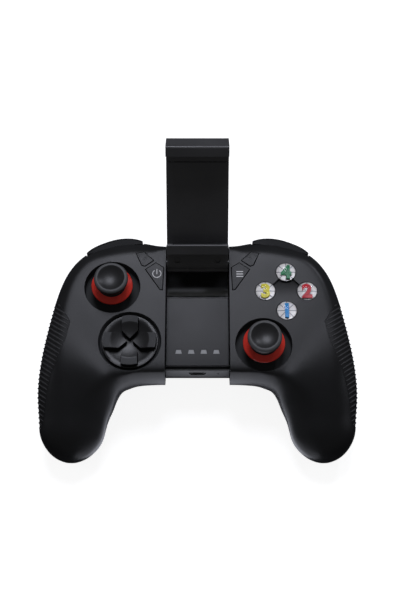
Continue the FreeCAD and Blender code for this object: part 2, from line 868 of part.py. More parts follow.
# A stick: box on the board, yoke that tips about X, rocker that tips about Y, stem with a
# wide skirt, coloured ring round the skirt, rubber cap
def stick_ring(centre):
    inner = ring_inner_radius + ring_seam
    outer = ring_outer_radius
    t = ring_thickness - ring_seam
    foot = outer - 0.5
    profile = [
        (inner, ring_top_z(inner)), (inner, ring_top_z(inner) - t), (foot, ring_top_z(foot) - t),
        (outer, ring_top_z(outer) - t * 0.5), (outer - 0.2, ring_top_z(outer)),
    ]
    return spun(profile, centre)


def stick_box(centre):
    x, y = centre
    h = stick_box_half
    w = stick_box_wall
    z = stick_pivot_z
    case = box(x - h, x + h, y - h, y + h, board_top_z, z + 1.9)
    room = box(x - h + w, x + h - w, y - h + w, y + h - w, board_top_z + 1.0, z + 10)
    bore = rod(stick_pin_radius + pin_clearance, (x - h - 1, y, z), (1, 0, 0), 2 * h + 2)
    return case.cut([room, bore])


def stick_yoke(centre):
    x, y = centre
    z = stick_pivot_z
    reach = yoke_half_x
    bar = box(x - reach, x + reach, y - yoke_half_y, y + yoke_half_y, z - yoke_half_z, z + yoke_half_z)
    gap = rocker_half_y + 0.3
    window = box(x - yoke_window, x + yoke_window, y - gap, y + gap, z - 5, z + 5)
    pin = rod(stick_pin_radius, (x - stick_box_half, y, z), (1, 0, 0), 2 * stick_box_half)
    bore = rod(stick_pin_radius + pin_clearance, (x, y - 9, z), (0, 1, 0), 18)
    return bar.fuse(pin).cut([window, bore])


def stick_rocker(centre):
    x, y = centre
    z = stick_pivot_z
    block = box(x - 2.2, x + 2.2, y - rocker_half_y, y + rocker_half_y, z - 1.4, z + 1.4)
    pin = rod(stick_pin_radius, (x, y - yoke_half_y, z), (0, 1, 0), 2 * yoke_half_y)
    post = upright(stick_post_radius, centre, z, z + stick_post_height)
    return block.fuse([pin, post]).removeSplitter()


def stick_stem(centre):
    x, y = centre
    z = stick_pivot_z
    middle = V(x, y, z)
    dome = Part.makeSphere(stick_dome_radius, middle)
    dome = dome.cut(Part.makeSphere(stick_dome_radius - stick_dome_wall, middle))
    dome = dome.common(box(x - 9, x + 9, y - 9, y + 9, z + stick_dome_low, z + 9))
    seat_z = stick_top_z - stick_cap_height
    neck = upright(stick_neck_radius, centre, z + stick_dome_low, seat_z + 1.0)
    plate = upright(stick_seat_radius, centre, seat_z - 0.4, seat_z + 1.0)
    inner = ring_inner_radius
    edge = ring_inner_radius + 1.6
    t = ring_thickness
    skirt = spun([
        (0.5, ring_top_z(0.5) - t), (0.5, ring_top_z(0.5)), (inner, ring_top_z(inner)),
        (inner, ring_top_z(inner) - t), (edge, ring_top_z(edge) - t), (edge, ring_top_z(edge) - 2 * t),
        (inner, ring_top_z(inner) - 2 * t),
    ], centre)
    hole = upright(stick_post_radius + pin_clearance, centre, z, z + stick_post_height + stick_press + 0.4)
    return dome.fuse([neck, plate, skirt]).cut(hole).removeSplitter()


def stick_cap(centre):
    r = stick_cap_radius
    top = stick_top_z
    plate = upright(r, centre, top - stick_cap_height, top)
    plate = rounded(plate, stick_rim_radius, lambda e: e.BoundBox.ZMin > top - 0.3)
    plate = rounded(plate, 1.0, lambda e: e.BoundBox.ZMax < top - stick_cap_height + 0.3)
    dish = hollow(centre, top, r - stick_rim_radius - 0.4, stick_dish_depth)
    seat = upright(stick_seat_radius, centre, top - stick_cap_height - 1, top - stick_cap_height + 1.0)
    return plate.cut([dish, seat])


# The clamp is drawn lying back along +Y with its front up, then swung to its rest angle
def swung(shape):
    shape = shape.copy()
    shape.rotate(V(0, 0, 0), V(1, 0, 0), arm_rest_angle)
    shape.translate(V(0, hinge_y, hinge_z))
    return shape


def jaw(y_inner, y_outer, y_lip):
    w = arm_half_width
    end = arm_front + jaw_reach
    low, high = min(y_inner, y_outer), max(y_inner, y_outer)
    shelf = box(-w, w, low, high, arm_front - 0.5, end)
    low, high = min(y_lip, y_outer), max(y_lip, y_outer)
    lip = box(-w, w, low, high, end - lip_thickness, end)
    return shelf.fuse(lip)


def lower_shelf():
    return jaw_start + jaw_thickness


def upper_jaw_y():
    return lower_shelf() + jaw_opening


def clamp_arm():
    w = arm_half_width
    plate = box(-w, w, 0, arm_length, -arm_back, arm_front)
    barrel = rod(barrel_radius, (-w, 0, 0), (1, 0, 0), 2 * w)
    block = box(-w, w, block_low, jaw_start + 0.5, -arm_back, block_front)
    shelf = jaw(lower_shelf(), jaw_start, lower_shelf() + lip_height)
    arm = plate.fuse([barrel, block, shelf]).removeSplitter()
    arm = rounded(arm, 1.2, lambda e: e.BoundBox.ZMax < -arm_back + 0.01 and e.BoundBox.YLength > 20)
    c = slider_clearance
    half = slider_half_width + c
    low = slider_low_t() - c
    slot = box(-half, half, spring_start, arm_length + 1, low, low + slider_thickness + 2 * c)
    depth = hinge_pin_depth + 0.4
    bores = []
    for side in (-1, 1):
        start = (side * (w - depth), 0, 0)
        bores.append(rod(hinge_pin_radius + hinge_pin_clearance, start, (side, 0, 0), depth + 1))
        x, y, radius = foot_mark
        bores.append(upright(radius, (side * x, y), block_front - mark_depth, block_front + 1))
    half, low, high = plate_mark
    bores.append(box(-half, half, low, high, block_front - mark_depth, block_front + 1))
    return arm.cut([slot] + bores)


def slider_low_t():
    return (arm_front - arm_back - slider_thickness) / 2


def clamp_slider():
    w = arm_half_width
    inner = upper_jaw_y()
    outer = inner + upper_jaw_thickness
    t0 = slider_low_t()
    start = arm_length - slider_engaged - slider_travel
    tongue = box(-slider_half_width, slider_half_width, start, outer - 1, t0, t0 + slider_thickness)
    head = box(-w, w, arm_length + 0.4, outer, -arm_back, arm_front)
    piece = tongue.fuse([head, jaw(inner, outer, inner - lip_height)]).removeSplitter()
    top = [e for e in piece.Edges if e.BoundBox.YMin > outer - 0.01 and e.BoundBox.XLength > 20]
    return piece.makeFillet(1.4, [e for e in top if e.BoundBox.ZMax < 0 or e.BoundBox.ZMin > arm_front + 1])


def lower_pad():
    y = lower_shelf()
    return box(-13, 13, y, y + pad_thickness, arm_front + 0.6, arm_front + jaw_reach - lip_thickness - 0.4)


def upper_pad():
    y = upper_jaw_y()
    return box(-13, 13, y - pad_thickness, y, arm_front + 0.6, arm_front + jaw_reach - lip_thickness - 0.4)


def clamp_springs():
    start = spring_start + 0.3
    end = arm_length - slider_engaged - slider_travel - 0.3
    middle = (arm_front - arm_back) / 2
    coils = [coil(1.15, 0.22, 0.62, end - start, (x, start, middle), (0, 1, 0)) for x in (-6.0, 6.0)]
    return Part.makeCompound(coils)


def hinge_pins():
    pins = []
    for side in (-1, 1):
        start = (side * (arm_half_width - hinge_pin_depth), hinge_y, hinge_z)
        length = hinge_pin_depth + bay_half_width - arm_half_width + cheek + 0.6
        pins.append(rod(hinge_pin_radius, start, (side, 0, 0), length))
    return Part.makeCompound(pins)


# Origin: middle of the extent across and along, on the table
def shift():
    a = math.radians(arm_rest_angle)
    far = upper_jaw_y() + upper_jaw_thickness
    back = hinge_y + far * math.cos(a) + arm_back * math.sin(a)
    return V(0, -(back + handle_tip_y) / 2, 0)


def save(name, shape):
    shape = shape.copy()
    shape.translate(shift())
    shape.exportStep("parts/" + name + ".step")


def save_pair(name, shape):
    save("right_" + name, shape)
    save("left_" + name, mirrored(shape))


def lower_casing(outer, space, low_block, lows, pockets):
    skin = outer.cut(space)
    b = bay_half_width
    front = box(-b, b, -60, bezel_front_y, -5, 60)
    above = box(-b, b, -60, centre_rear_y - wall - centre_gap, panel_z - panel_thickness, 60)
    table = box(-100, 100, -100, 100, -20, 0)
    pins = both_sides(trigger_pin()) + both_sides(bumper_bore())
    bosses = both_sides(trigger_ears(space)) + both_sides(bumper_boss(outer))
    casing = skin.common(low_block).fuse(lows + bosses)
    return casing.cut([front, above, table] + screw_holes() + pockets + pins)


def upper_casing(outer, space, high_block, highs, pockets):
    skin = outer.cut(space.fuse(high_block))
    bowls = [socket_bowl(left_stick), socket_bowl(right_stick), dpad_bowl()]
    casing = skin.fuse(bowls + highs).common(outer)
    tools = socket_cut(left_stick) + socket_cut(right_stick) + dpad_cut()
    tools += [centre_cut(), hinge_pins(), button_slope()]
    casing = casing.cut(tools + face_holes() + screw_holes() + pockets)
    return sorted(casing.Solids, key=lambda solid: solid.CenterOfMass.x)


def make_casings():
    outer = body(0.0)
    space = void()
    low_block = below_seam(0.0)
    high_block = below_seam(seam_gap)
    lows = []
    highs = []
    for place in screw_places:
        low, high = boss_pair(place, outer, low_block, high_block)
        lows += both_sides(low)
        highs += both_sides(high)
    deep = grip_region(grip_clearance).cut(body(grip_depth + grip_clearance))
    pockets = []
    for tool in (bumper_pocket(), trigger_pocket(), deep):
        pockets += both_sides(tool)
    bottom = lower_casing(outer, space, low_block, lows, pockets)
    left, right = upper_casing(outer, space, high_block, highs, pockets)
    return left, right, bottom, space


def main():
    os.makedirs("parts", exist_ok=True)
    left, right, bottom, space = make_casings()
    save("left_upper_casing", left)
    save("right_upper_casing", right)
    save("lower_casing", bottom)
    save("centre_cover", centre_cover())
    save("led_windows", led_windows())
    save("indicator_lights", indicator_lights())
    save("front_bezel", bezel(space))
    save("usb_port", usb_port())
    save("clamp_bay", clamp_bay(space))
    save("circuit_board", circuit_board())
    save("battery_pack", battery_pack())
    save("case_screws", case_screws())
    save("dpad_plate", dpad_plate())
    save("dpad_membrane", dpad_membrane())
    save("face_button_membrane", face_button_membrane())
    save("menu_key_membranes", menu_membranes())
    for i, side in enumerate(("right", "up", "left", "down")):
        save("dpad_" + side + "_key", dpad_key(90 * i))
    for name, centre in face_button_centres.items():
        save("face_button_" + name, face_button(centre))
    for name, points in menu_faces().items():
        save(name, menu_key(points))
    for side, centre in (("left", left_stick), ("right", right_stick)):
        save(side + "_stick_ring", stick_ring(centre))
        save(side + "_stick_box", stick_box(centre))
        save(side + "_stick_yoke", stick_yoke(centre))
        save(side + "_stick_rocker", stick_rocker(centre))
        save(side + "_stick_stem", stick_stem(centre))
        save(side + "_stick_cap", stick_cap(centre))
    pad, ribs = grip()
    save_pair("bumper", bumper())
    save_pair("trigger", trigger_blade())
    save_pair("trigger_pin", trigger_pin())
    save_pair("trigger_spring", trigger_spring())
    save_pair("grip", pad)
    save_pair("grip_ribs", ribs)
    save("clamp_hinge_pins", hinge_pins())
    save("clamp_arm", swung(clamp_arm()))
    save("clamp_slider", swung(clamp_slider()))
    save("lower_jaw_pad", swung(lower_pad()))
    save("upper_jaw_pad", swung(upper_pad()))
    save("clamp_springs", swung(clamp_springs()))


main()
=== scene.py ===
import json
import math

import bmesh
import bpy
from mathutils import Matrix, Vector

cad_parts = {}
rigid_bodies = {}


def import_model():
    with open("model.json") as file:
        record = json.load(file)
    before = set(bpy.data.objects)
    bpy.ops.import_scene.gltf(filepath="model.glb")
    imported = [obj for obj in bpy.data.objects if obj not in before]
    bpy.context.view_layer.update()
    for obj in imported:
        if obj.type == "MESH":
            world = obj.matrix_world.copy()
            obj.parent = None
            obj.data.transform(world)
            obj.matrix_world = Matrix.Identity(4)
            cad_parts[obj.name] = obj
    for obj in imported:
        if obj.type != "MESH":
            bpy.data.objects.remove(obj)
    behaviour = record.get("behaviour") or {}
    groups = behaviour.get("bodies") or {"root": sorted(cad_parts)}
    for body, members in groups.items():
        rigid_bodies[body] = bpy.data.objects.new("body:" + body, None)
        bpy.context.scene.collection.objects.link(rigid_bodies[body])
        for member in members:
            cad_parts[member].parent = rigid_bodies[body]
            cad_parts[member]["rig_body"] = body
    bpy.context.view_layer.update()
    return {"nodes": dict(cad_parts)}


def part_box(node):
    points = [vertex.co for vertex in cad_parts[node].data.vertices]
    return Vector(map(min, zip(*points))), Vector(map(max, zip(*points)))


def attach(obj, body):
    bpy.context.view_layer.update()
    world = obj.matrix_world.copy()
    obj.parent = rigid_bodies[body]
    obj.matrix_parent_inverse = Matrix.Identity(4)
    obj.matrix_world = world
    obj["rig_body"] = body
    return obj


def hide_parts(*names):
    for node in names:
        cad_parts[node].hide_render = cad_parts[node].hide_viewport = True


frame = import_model()
mm = 0.001
print("frame loaded:", len(frame["nodes"]), "nodes")


# Studio: camera, paper floor, soft lights

scene = bpy.context.scene

view = {
    "target": (1.56 * mm, 3.0 * mm, 38 * mm),
    "distance": 0.6,
    "elevation": 66.0,
    "lens": 69.0,
}

studio = {
    "floorSize": 6.0,
    "floorLevel": -0.05 * mm,
    "floorColour": (0.5, 0.5, 0.5, 1),
    "floorBounce": (0.1, 0.1, 0.1, 1),
    "floorGlow": 0.88,
    "skyLight": 0.14,
    "skySeen": 1.0,
    "lampColour": (0.955, 0.98, 1.1),
    "lamps": {
        "softbox": {"size": 0.46, "power": 4.3, "place": (-0.03, 0.5, 0.83)},
        "spark": {"size": 0.09, "power": 0.65, "place": (0.36, 0.5, 0.5)},
        "leftSide": {"size": 0.3, "power": 0.25, "place": (-0.75, 0.1, 0.3)},
        "rightSide": {"size": 0.3, "power": 0.25, "place": (0.75, 0.0, 0.3)},
        "below": {"size": 0.6, "power": 9.0, "place": (0.0, 0.3, -0.75)},
        "frontCard": {"size": 0.12, "power": 0.055, "place": (0.0, -0.1, 0.004), "aim": (0.0, -0.1, 1.0)},
    },
}


# A node with its inputs set or linked and its options chosen
def wire(tree, kind, inputs=None, **options):
    made = tree.nodes.new(kind)
    for label, value in options.items():
        setattr(made, label, value)
    for label, value in (inputs or {}).items():
        if isinstance(value, bpy.types.NodeSocket):
            tree.links.new(value, made.inputs[label])
        else:
            made.inputs[label].default_value = value
    return made


def calculate(tree, operation, first, second=None, clamp=False):
    node = tree.nodes.new("ShaderNodeMath")
    node.operation = operation
    node.use_clamp = clamp
    for socket, value in zip(node.inputs, (first, second)):
        if value is None:
            continue
        if isinstance(value, (int, float)):
            socket.default_value = value
        else:
            tree.links.new(value, socket)
    return node.outputs[0]


def addCamera():
    tilt = math.radians(view["elevation"])
    back = Vector((0, -math.cos(tilt), math.sin(tilt)))
    data = bpy.data.cameras.new("camera")
    data.lens = view["lens"]
    data.sensor_width = 36
    data.clip_start = 0.01
    camera = bpy.data.objects.new("camera", data)
    camera.location = Vector(view["target"]) + back * view["distance"]
    camera.rotation_euler = (math.radians(90) - tilt, 0, 0)
    scene.collection.objects.link(camera)
    scene.camera = camera


# The paper is pale to the camera, throws little light back on the object and is clear from below
def addFloor():
    half = studio["floorSize"] / 2
    low = studio["floorLevel"]
    mesh = bpy.data.meshes.new("floor")
    corners = [(-half, -half, low), (half, -half, low), (half, half, low), (-half, half, low)]
    mesh.from_pydata(corners, [], [(0, 1, 2, 3)])
    floor = bpy.data.objects.new("floor", mesh)
    scene.collection.objects.link(floor)
    paper = bpy.data.materials.new("floorPaper")
    paper.use_nodes = True
    tree = paper.node_tree
    seen = tree.nodes["Principled BSDF"]
    seen.inputs["Base Color"].default_value = studio["floorColour"]
    seen.inputs["Roughness"].default_value = 0.9
    seen.inputs["Specular IOR Level"].default_value = 0.0
    seen.inputs["Emission Color"].default_value = (1, 1, 1, 1)
    seen.inputs["Emission Strength"].default_value = studio["floorGlow"]
    unseen = wire(tree, "ShaderNodeBsdfDiffuse", {"Color": studio["floorBounce"]})
    path = tree.nodes.new("ShaderNodeLightPath")
    above = wire(tree, "ShaderNodeMixShader", {
        0: path.outputs["Is Camera Ray"], 1: unseen.outputs[0], 2: seen.outputs[0]})
    clear = tree.nodes.new("ShaderNodeBsdfTransparent")
    side = tree.nodes.new("ShaderNodeNewGeometry").outputs["Backfacing"]
    side = calculate(tree, "MAXIMUM", side, path.outputs["Is Shadow Ray"])
    mix = wire(tree, "ShaderNodeMixShader", {0: side, 1: above.outputs[0], 2: clear.outputs[0]})
    tree.links.new(mix.outputs[0], tree.nodes["Material Output"].inputs["Surface"])
    mesh.materials.append(paper)


def addWorld():
    world = bpy.data.worlds.new("studio")
    world.use_nodes = True
    tree = world.node_tree
    path = tree.nodes.new("ShaderNodeLightPath")
    level = wire(tree, "ShaderNodeMapRange", {
        "Value": path.outputs["Is Camera Ray"], "To Min": studio["skyLight"], "To Max": studio["skySeen"]})
    sky = tree.nodes["Background"]
    sky.inputs["Color"].default_value = (1, 1, 1, 1)
    tree.links.new(level.outputs["Result"], sky.inputs["Strength"])
    scene.world = world
    scene.view_settings.view_transform = "Standard"


def addLamps():
    for name, lamp in studio["lamps"].items():
        data = bpy.data.lights.new(name, "AREA")
        data.shape = "DISK"
        data.size = lamp["size"]
        data.energy = lamp["power"]
        data.color = studio["lampColour"]
        light = bpy.data.objects.new(name, data)
        light.location = lamp["place"]
        aim = Vector(lamp.get("aim", (0, 0, 0.03))) - light.location
        light.rotation_euler = aim.to_track_quat("-Z", "Y").to_euler()
        light.visible_camera = False
        scene.collection.objects.link(light)


addCamera()
addFloor()
addWorld()
addLamps()
print("studio ready")


# Shared effects for the finishes

def newGroup(name, inputs, outputs):
    tree = bpy.data.node_groups.new(name, "ShaderNodeTree")
    for label, value in inputs.items():
        socket = tree.interface.new_socket(name=label, in_out="INPUT", socket_type="NodeSocketFloat")
        socket.default_value = value
    for label in outputs:
        tree.interface.new_socket(name=label, in_out="OUTPUT", socket_type="NodeSocketFloat")
    start = tree.nodes.new("NodeGroupInput")
    end = tree.nodes.new("NodeGroupOutput")
    return tree, start, end


def noise(tree, scale, detail=2.0):
    place = tree.nodes.new("ShaderNodeTexCoord")
    node = tree.nodes.new("ShaderNodeTexNoise")
    node.inputs["Detail"].default_value = detail
    tree.links.new(place.outputs["Object"], node.inputs["Vector"])
    if isinstance(scale, (int, float)):
        node.inputs["Scale"].default_value = scale
    else:
        tree.links.new(scale, node.inputs["Scale"])
    return node.outputs["Fac"]


# Fine moulded grain, and slow cloudy change over the surface
def buildGrain():
    tree, start, end = newGroup("mouldedGrain", {"Grain": 4000.0, "Cloud": 45.0}, ["Height", "Tone"])
    tree.links.new(noise(tree, start.outputs["Grain"], 3.0), end.inputs["Height"])
    tree.links.new(noise(tree, start.outputs["Cloud"], 4.0), end.inputs["Tone"])
    return tree


# Where an edge is rubbed brighter: the rounded normal leaves the plain one
def buildWear():
    tree, start, end = newGroup("edgeWear", {"Radius": 0.0004, "Gain": 5.0}, ["Mask"])
    bevel = tree.nodes.new("ShaderNodeBevel")
    bevel.samples = 6
    tree.links.new(start.outputs["Radius"], bevel.inputs["Radius"])
    plain = tree.nodes.new("ShaderNodeNewGeometry")
    dot = tree.nodes.new("ShaderNodeVectorMath")
    dot.operation = "DOT_PRODUCT"
    tree.links.new(bevel.outputs["Normal"], dot.inputs[0])
    tree.links.new(plain.outputs["Normal"], dot.inputs[1])
    away = calculate(tree, "SUBTRACT", 1.0, dot.outputs["Value"], clamp=True)
    rubbed = calculate(tree, "MULTIPLY", away, start.outputs["Gain"], clamp=True)
    patchy = calculate(tree, "MULTIPLY", rubbed, noise(tree, 260.0, 3.0), clamp=True)
    tree.links.new(patchy, end.inputs["Mask"])
    return tree


# Faint dust on what faces up
def buildDust():
    tree, start, end = newGroup("settledDust", {"Scale": 900.0, "Amount": 0.3}, ["Mask"])
    plain = tree.nodes.new("ShaderNodeNewGeometry")
    split = tree.nodes.new("ShaderNodeSeparateXYZ")
    tree.links.new(plain.outputs["Normal"], split.inputs[0])
    upward = calculate(tree, "POWER", calculate(tree, "MAXIMUM", split.outputs["Z"], 0.0), 6.0)
    specks = calculate(tree, "POWER", noise(tree, start.outputs["Scale"], 5.0), 5.0)
    settled = calculate(tree, "MULTIPLY", specks, start.outputs["Amount"])
    tree.links.new(calculate(tree, "MULTIPLY", upward, settled, clamp=True), end.inputs["Mask"])
    return tree


grainGroup = buildGrain()
wearGroup = buildWear()
dustGroup = buildDust()


def useGroup(tree, group, values):
    node = tree.nodes.new("ShaderNodeGroup")
    node.node_tree = group
    for label, value in values.items():
        node.inputs[label].default_value = value
    return node


def mixColour(tree, share, first, second):
    node = tree.nodes.new("ShaderNodeMix")
    node.data_type = "RGBA"
    for index, value in ((6, first), (7, second)):
        if isinstance(value, tuple):
            node.inputs[index].default_value = (*value, 1)
        else:
            tree.links.new(value, node.inputs[index])
    tree.links.new(share, node.inputs[0])
    return node.outputs[2]


def spread(tree, value, low, high):
    node = tree.nodes.new("ShaderNodeMapRange")
    tree.links.new(value, node.inputs["Value"])
    node.inputs["From Min"].default_value = 0.3
    node.inputs["From Max"].default_value = 0.7
    node.inputs["To Min"].default_value = low
    node.inputs["To Max"].default_value = high
    return node.outputs["Result"]


# What a finish has unless it says otherwise
finishDefaults = {
    "gloss": 0.5,
    "grain": 0.2,
    "depth": 0.002,
    "edge": 0.3,
    "gain": 1.0,
    "dust": 0.0,
    "metal": 0.0,
    "cloud": 45.0,
}

# What every finish has in common
finishShared = {
    "dustScale": 1400.0,
    "dustColour": (0.5, 0.5, 0.5),
    "refraction": 1.46,
    "grainStrength": 0.6,
    "softShare": 0.5,
    "softSamples": 4,
}

digitPlastic = {"rough": (0.25, 0.32), "gloss": 0.15, "grain": 0.3, "edge": 0.15, "gain": 0.8}

# Every finish: two tones, rubbed edge tone, roughness range, grain size and depth in mm
finishes = {
    "casingPlastic": dict(
        dark=(0.0088, 0.0090, 0.0097), light=(0.0118, 0.0120, 0.0128), rubbed=(0.05, 0.051, 0.053),
        rough=(0.33, 0.38), gloss=0.25, grain=0.22, depth=0.008, edge=0.4, gain=1.6, dust=0.012),
    # Painted shade: a darker copy of the casing plastic for the hollow between the face buttons
    "slopePaintedShade": dict(
        dark=(0.0078, 0.0080, 0.0086), light=(0.0105, 0.0107, 0.0114), rubbed=(0.05, 0.051, 0.053),
        rough=(0.33, 0.38), gloss=0.22, grain=0.22, depth=0.008, edge=0.4, gain=1.6, dust=0.012,
        curve=(4.0, 20.0, 2.4)),
    "coverPlastic": dict(
        dark=(0.0088, 0.0090, 0.0097), light=(0.0118, 0.0120, 0.0128), rubbed=(0.07, 0.07, 0.072),
        rough=(0.33, 0.38), gloss=0.21, depth=0.006, gain=2.0, dust=0.012),
    # Painted light: the bezel is a paler copy of the casing plastic, for the light that falls on its front
    # face
    "bezelPlastic": dict(
        dark=(0.017, 0.0172, 0.018), light=(0.022, 0.0222, 0.023), rubbed=(0.08, 0.08, 0.082),
        rough=(0.4, 0.48), depth=0.006, gain=2.0, dust=0.01),
    # Painted light: the bay's front wall, which lies in the clamp arm's shadow, is painted pale in a band
    # near the front, with a line of the plain tone left at the cover's rear edge for the gap's shadow
    "bayPlastic": dict(
        dark=(0.015, 0.015, 0.0156), light=(0.02, 0.02, 0.0207), rubbed=(0.03, 0.03, 0.031),
        rough=(0.4, 0.5), gloss=0.3, grain=0.25, depth=0.006, gain=2.0, dust=0.02,
        fade=dict(low=15.2, high=17.9, cut=19.6, line=0.7, topLow=1.5, topHigh=1.9,
                  behind=20.0, soften=2, tint=(0.42, 0.425, 0.435))),
    "clampPlastic": dict(
        dark=(0.035, 0.035, 0.0365), light=(0.047, 0.047, 0.049), rubbed=(0.09, 0.09, 0.093),
        rough=(0.32, 0.4), gloss=0.4, grain=0.25, depth=0.006, edge=0.4, gain=2.0, dust=0.015),
    "dpadPlastic": dict(
        dark=(0.008, 0.008, 0.0085), light=(0.0105, 0.0105, 0.011), rubbed=(0.06, 0.06, 0.062),
        rough=(0.3, 0.36), gloss=0.34, depth=0.004, gain=2.4, dust=0.012),
    "bandPlastic": dict(
        dark=(0.052, 0.053, 0.055), light=(0.066, 0.067, 0.069), rubbed=(0.08, 0.08, 0.082),
        rough=(0.52, 0.6), gloss=0.08, depth=0.006, edge=0.2, dust=0.012),
    # Painted highlight: the pale finish on the end of the lower jaw's lip
    "lipPaintedHighlight": dict(
        dark=(0.13, 0.13, 0.134), light=(0.17, 0.17, 0.174), rubbed=(0.2, 0.2, 0.2),
        rough=(0.4, 0.5), gloss=0.3, depth=0.006, edge=0.2, dust=0.012),
    "keyPlastic": dict(
        dark=(0.0082, 0.0084, 0.009), light=(0.0108, 0.011, 0.0117), rubbed=(0.07, 0.07, 0.072),
        rough=(0.33, 0.38), gloss=0.22, depth=0.005, edge=0.2, gain=2.5, dust=0.012),
    "triggerPlastic": dict(
        dark=(0.0085, 0.0087, 0.0092), light=(0.011, 0.0112, 0.0118), rubbed=(0.08, 0.08, 0.082),
        rough=(0.46, 0.54), gloss=0.1, depth=0.005, edge=0.4, gain=2.0, dust=0.01),
    "stickPlastic": dict(
        dark=(0.005, 0.005, 0.0053), light=(0.007, 0.007, 0.0074), rubbed=(0.04, 0.04, 0.04),
        rough=(0.34, 0.42), gloss=0.25, depth=0.004, gain=1.5, dust=0.01),
    # Painted light: a paler copy of the casing plastic for the stick and D-pad wells, lifting the shade that
    # falls in them
    "socketPaintedLight": dict(
        dark=(0.030, 0.031, 0.032), light=(0.038, 0.039, 0.040), rubbed=(0.05, 0.05, 0.05),
        rough=(0.5, 0.6), gloss=0.06, depth=0.004, dust=0.01),
    "stickRubber": dict(
        dark=(0.010, 0.010, 0.0106), light=(0.014, 0.014, 0.0146), rubbed=(0.04, 0.04, 0.041),
        rough=(0.34, 0.40), gloss=0.4, grain=0.16, depth=0.010, dust=0.03),
    # Partly rubbed wear, partly painted highlight: the paler rubber on the top of the stick caps' rims
    "rimWearAndHighlight": dict(
        dark=(0.06, 0.061, 0.063), light=(0.078, 0.079, 0.081), rubbed=(0.09, 0.09, 0.092),
        rough=(0.5, 0.6), gloss=0.4, grain=0.16, depth=0.010, gain=1.5, dust=0.05),
    "gripRubber": dict(
        dark=(0.0055, 0.0055, 0.0059), light=(0.0078, 0.0078, 0.0083), rubbed=(0.03, 0.03, 0.031),
        rough=(0.46, 0.54), gloss=0.25, grain=0.16, depth=0.008, gain=1.5, dust=0.015),
    # Painted light: the ribs are painted paler than the grip rubber they stand on, for the light lines along
    # them on the dark grips
    "ribRubberPaintedLight": dict(
        dark=(0.030, 0.0305, 0.032), light=(0.042, 0.0425, 0.044), rubbed=(0.06, 0.06, 0.062),
        rough=(0.42, 0.5), gloss=0.4, grain=0.16, depth=0.008, edge=0.2, gain=1.5, dust=0.02),
    "padRubber": dict(
        dark=(0.008, 0.008, 0.0084), light=(0.012, 0.012, 0.0125), rubbed=(0.03, 0.03, 0.03),
        rough=(0.6, 0.7), gloss=0.3, depth=0.02, edge=0.2, dust=0.05),
    "membraneRubber": dict(
        dark=(0.30, 0.31, 0.32), light=(0.38, 0.39, 0.40), rubbed=(0.5, 0.5, 0.5),
        rough=(0.5, 0.6), grain=0.3, depth=0.01, edge=0.2),
    "ringRed": dict(
        dark=(0.52, 0.026, 0.016), light=(0.64, 0.036, 0.022), rubbed=(0.55, 0.05, 0.04),
        rough=(0.26, 0.34), gloss=0.3, grain=0.3),
    "ledLens": dict(
        dark=(0.24, 0.245, 0.25), light=(0.31, 0.315, 0.32), rubbed=(0.2, 0.2, 0.2),
        rough=(0.3, 0.4), gloss=0.3, grain=0.3, edge=0.2),
    "ledBody": dict(
        dark=(0.75, 0.74, 0.66), light=(0.85, 0.84, 0.76), rubbed=(0.9, 0.9, 0.9),
        rough=(0.3, 0.4), edge=0.1),
    "boardLaminate": dict(
        dark=(0.008, 0.05, 0.02), light=(0.014, 0.08, 0.032), rubbed=(0.25, 0.2, 0.08),
        rough=(0.3, 0.42), grain=0.5, depth=0.01),
    "batteryWrap": dict(
        dark=(0.30, 0.31, 0.33), light=(0.42, 0.43, 0.45), rubbed=(0.6, 0.6, 0.6),
        rough=(0.3, 0.45), grain=1.5, depth=0.04, edge=0.6),
    "connectorSteel": dict(
        dark=(0.10, 0.10, 0.104), light=(0.15, 0.15, 0.154), rubbed=(0.4, 0.4, 0.4),
        rough=(0.3, 0.4), grain=0.12, edge=0.2, metal=1.0),
    "fastenerSteel": dict(
        dark=(0.10, 0.10, 0.105), light=(0.16, 0.16, 0.165), rubbed=(0.55, 0.55, 0.56),
        rough=(0.3, 0.42), grain=0.15, depth=0.004, edge=0.25, gain=3.0, metal=1.0),
    "springSteel": dict(
        dark=(0.40, 0.40, 0.41), light=(0.52, 0.52, 0.53), rubbed=(0.7, 0.7, 0.7),
        rough=(0.25, 0.35), grain=0.1, edge=0.1, metal=1.0),
    "keyMark": dict(
        dark=(0.66, 0.66, 0.66), light=(0.78, 0.78, 0.78), rubbed=(0.3, 0.3, 0.3),
        rough=(0.5, 0.6), gloss=0.3, grain=0.15, edge=0.05),
    "faintMark": dict(
        dark=(0.035, 0.035, 0.036), light=(0.05, 0.05, 0.052), rubbed=(0.08, 0.08, 0.08),
        rough=(0.5, 0.6), gloss=0.3, grain=0.15, edge=0.05),
    "digitGreen": dict(
        dark=(0.002, 0.11, 0.036), light=(0.003, 0.14, 0.048), rubbed=(0.1, 0.4, 0.2),
        **digitPlastic),
    "digitYellow": dict(
        dark=(0.46, 0.40, 0.02), light=(0.56, 0.49, 0.03), rubbed=(0.9, 0.85, 0.4),
        **digitPlastic),
    "digitRed": dict(
        dark=(0.33, 0.002, 0.010), light=(0.42, 0.004, 0.015), rubbed=(0.8, 0.2, 0.22),
        **digitPlastic),
    "digitBlue": dict(
        dark=(0.006, 0.15, 0.38), light=(0.010, 0.20, 0.48), rubbed=(0.2, 0.5, 0.85),
        **digitPlastic),
}


def objectPlace(tree):
    place = tree.nodes.new("ShaderNodeTexCoord")
    return wire(tree, "ShaderNodeSeparateXYZ", {0: place.outputs["Object"]})


# From 0 to 1 between two places, given in mm
def ramp(tree, value, start, end):
    node = wire(tree, "ShaderNodeMapRange", {"Value": value, "From Min": start * mm, "From Max": end * mm})
    return node.outputs["Result"]


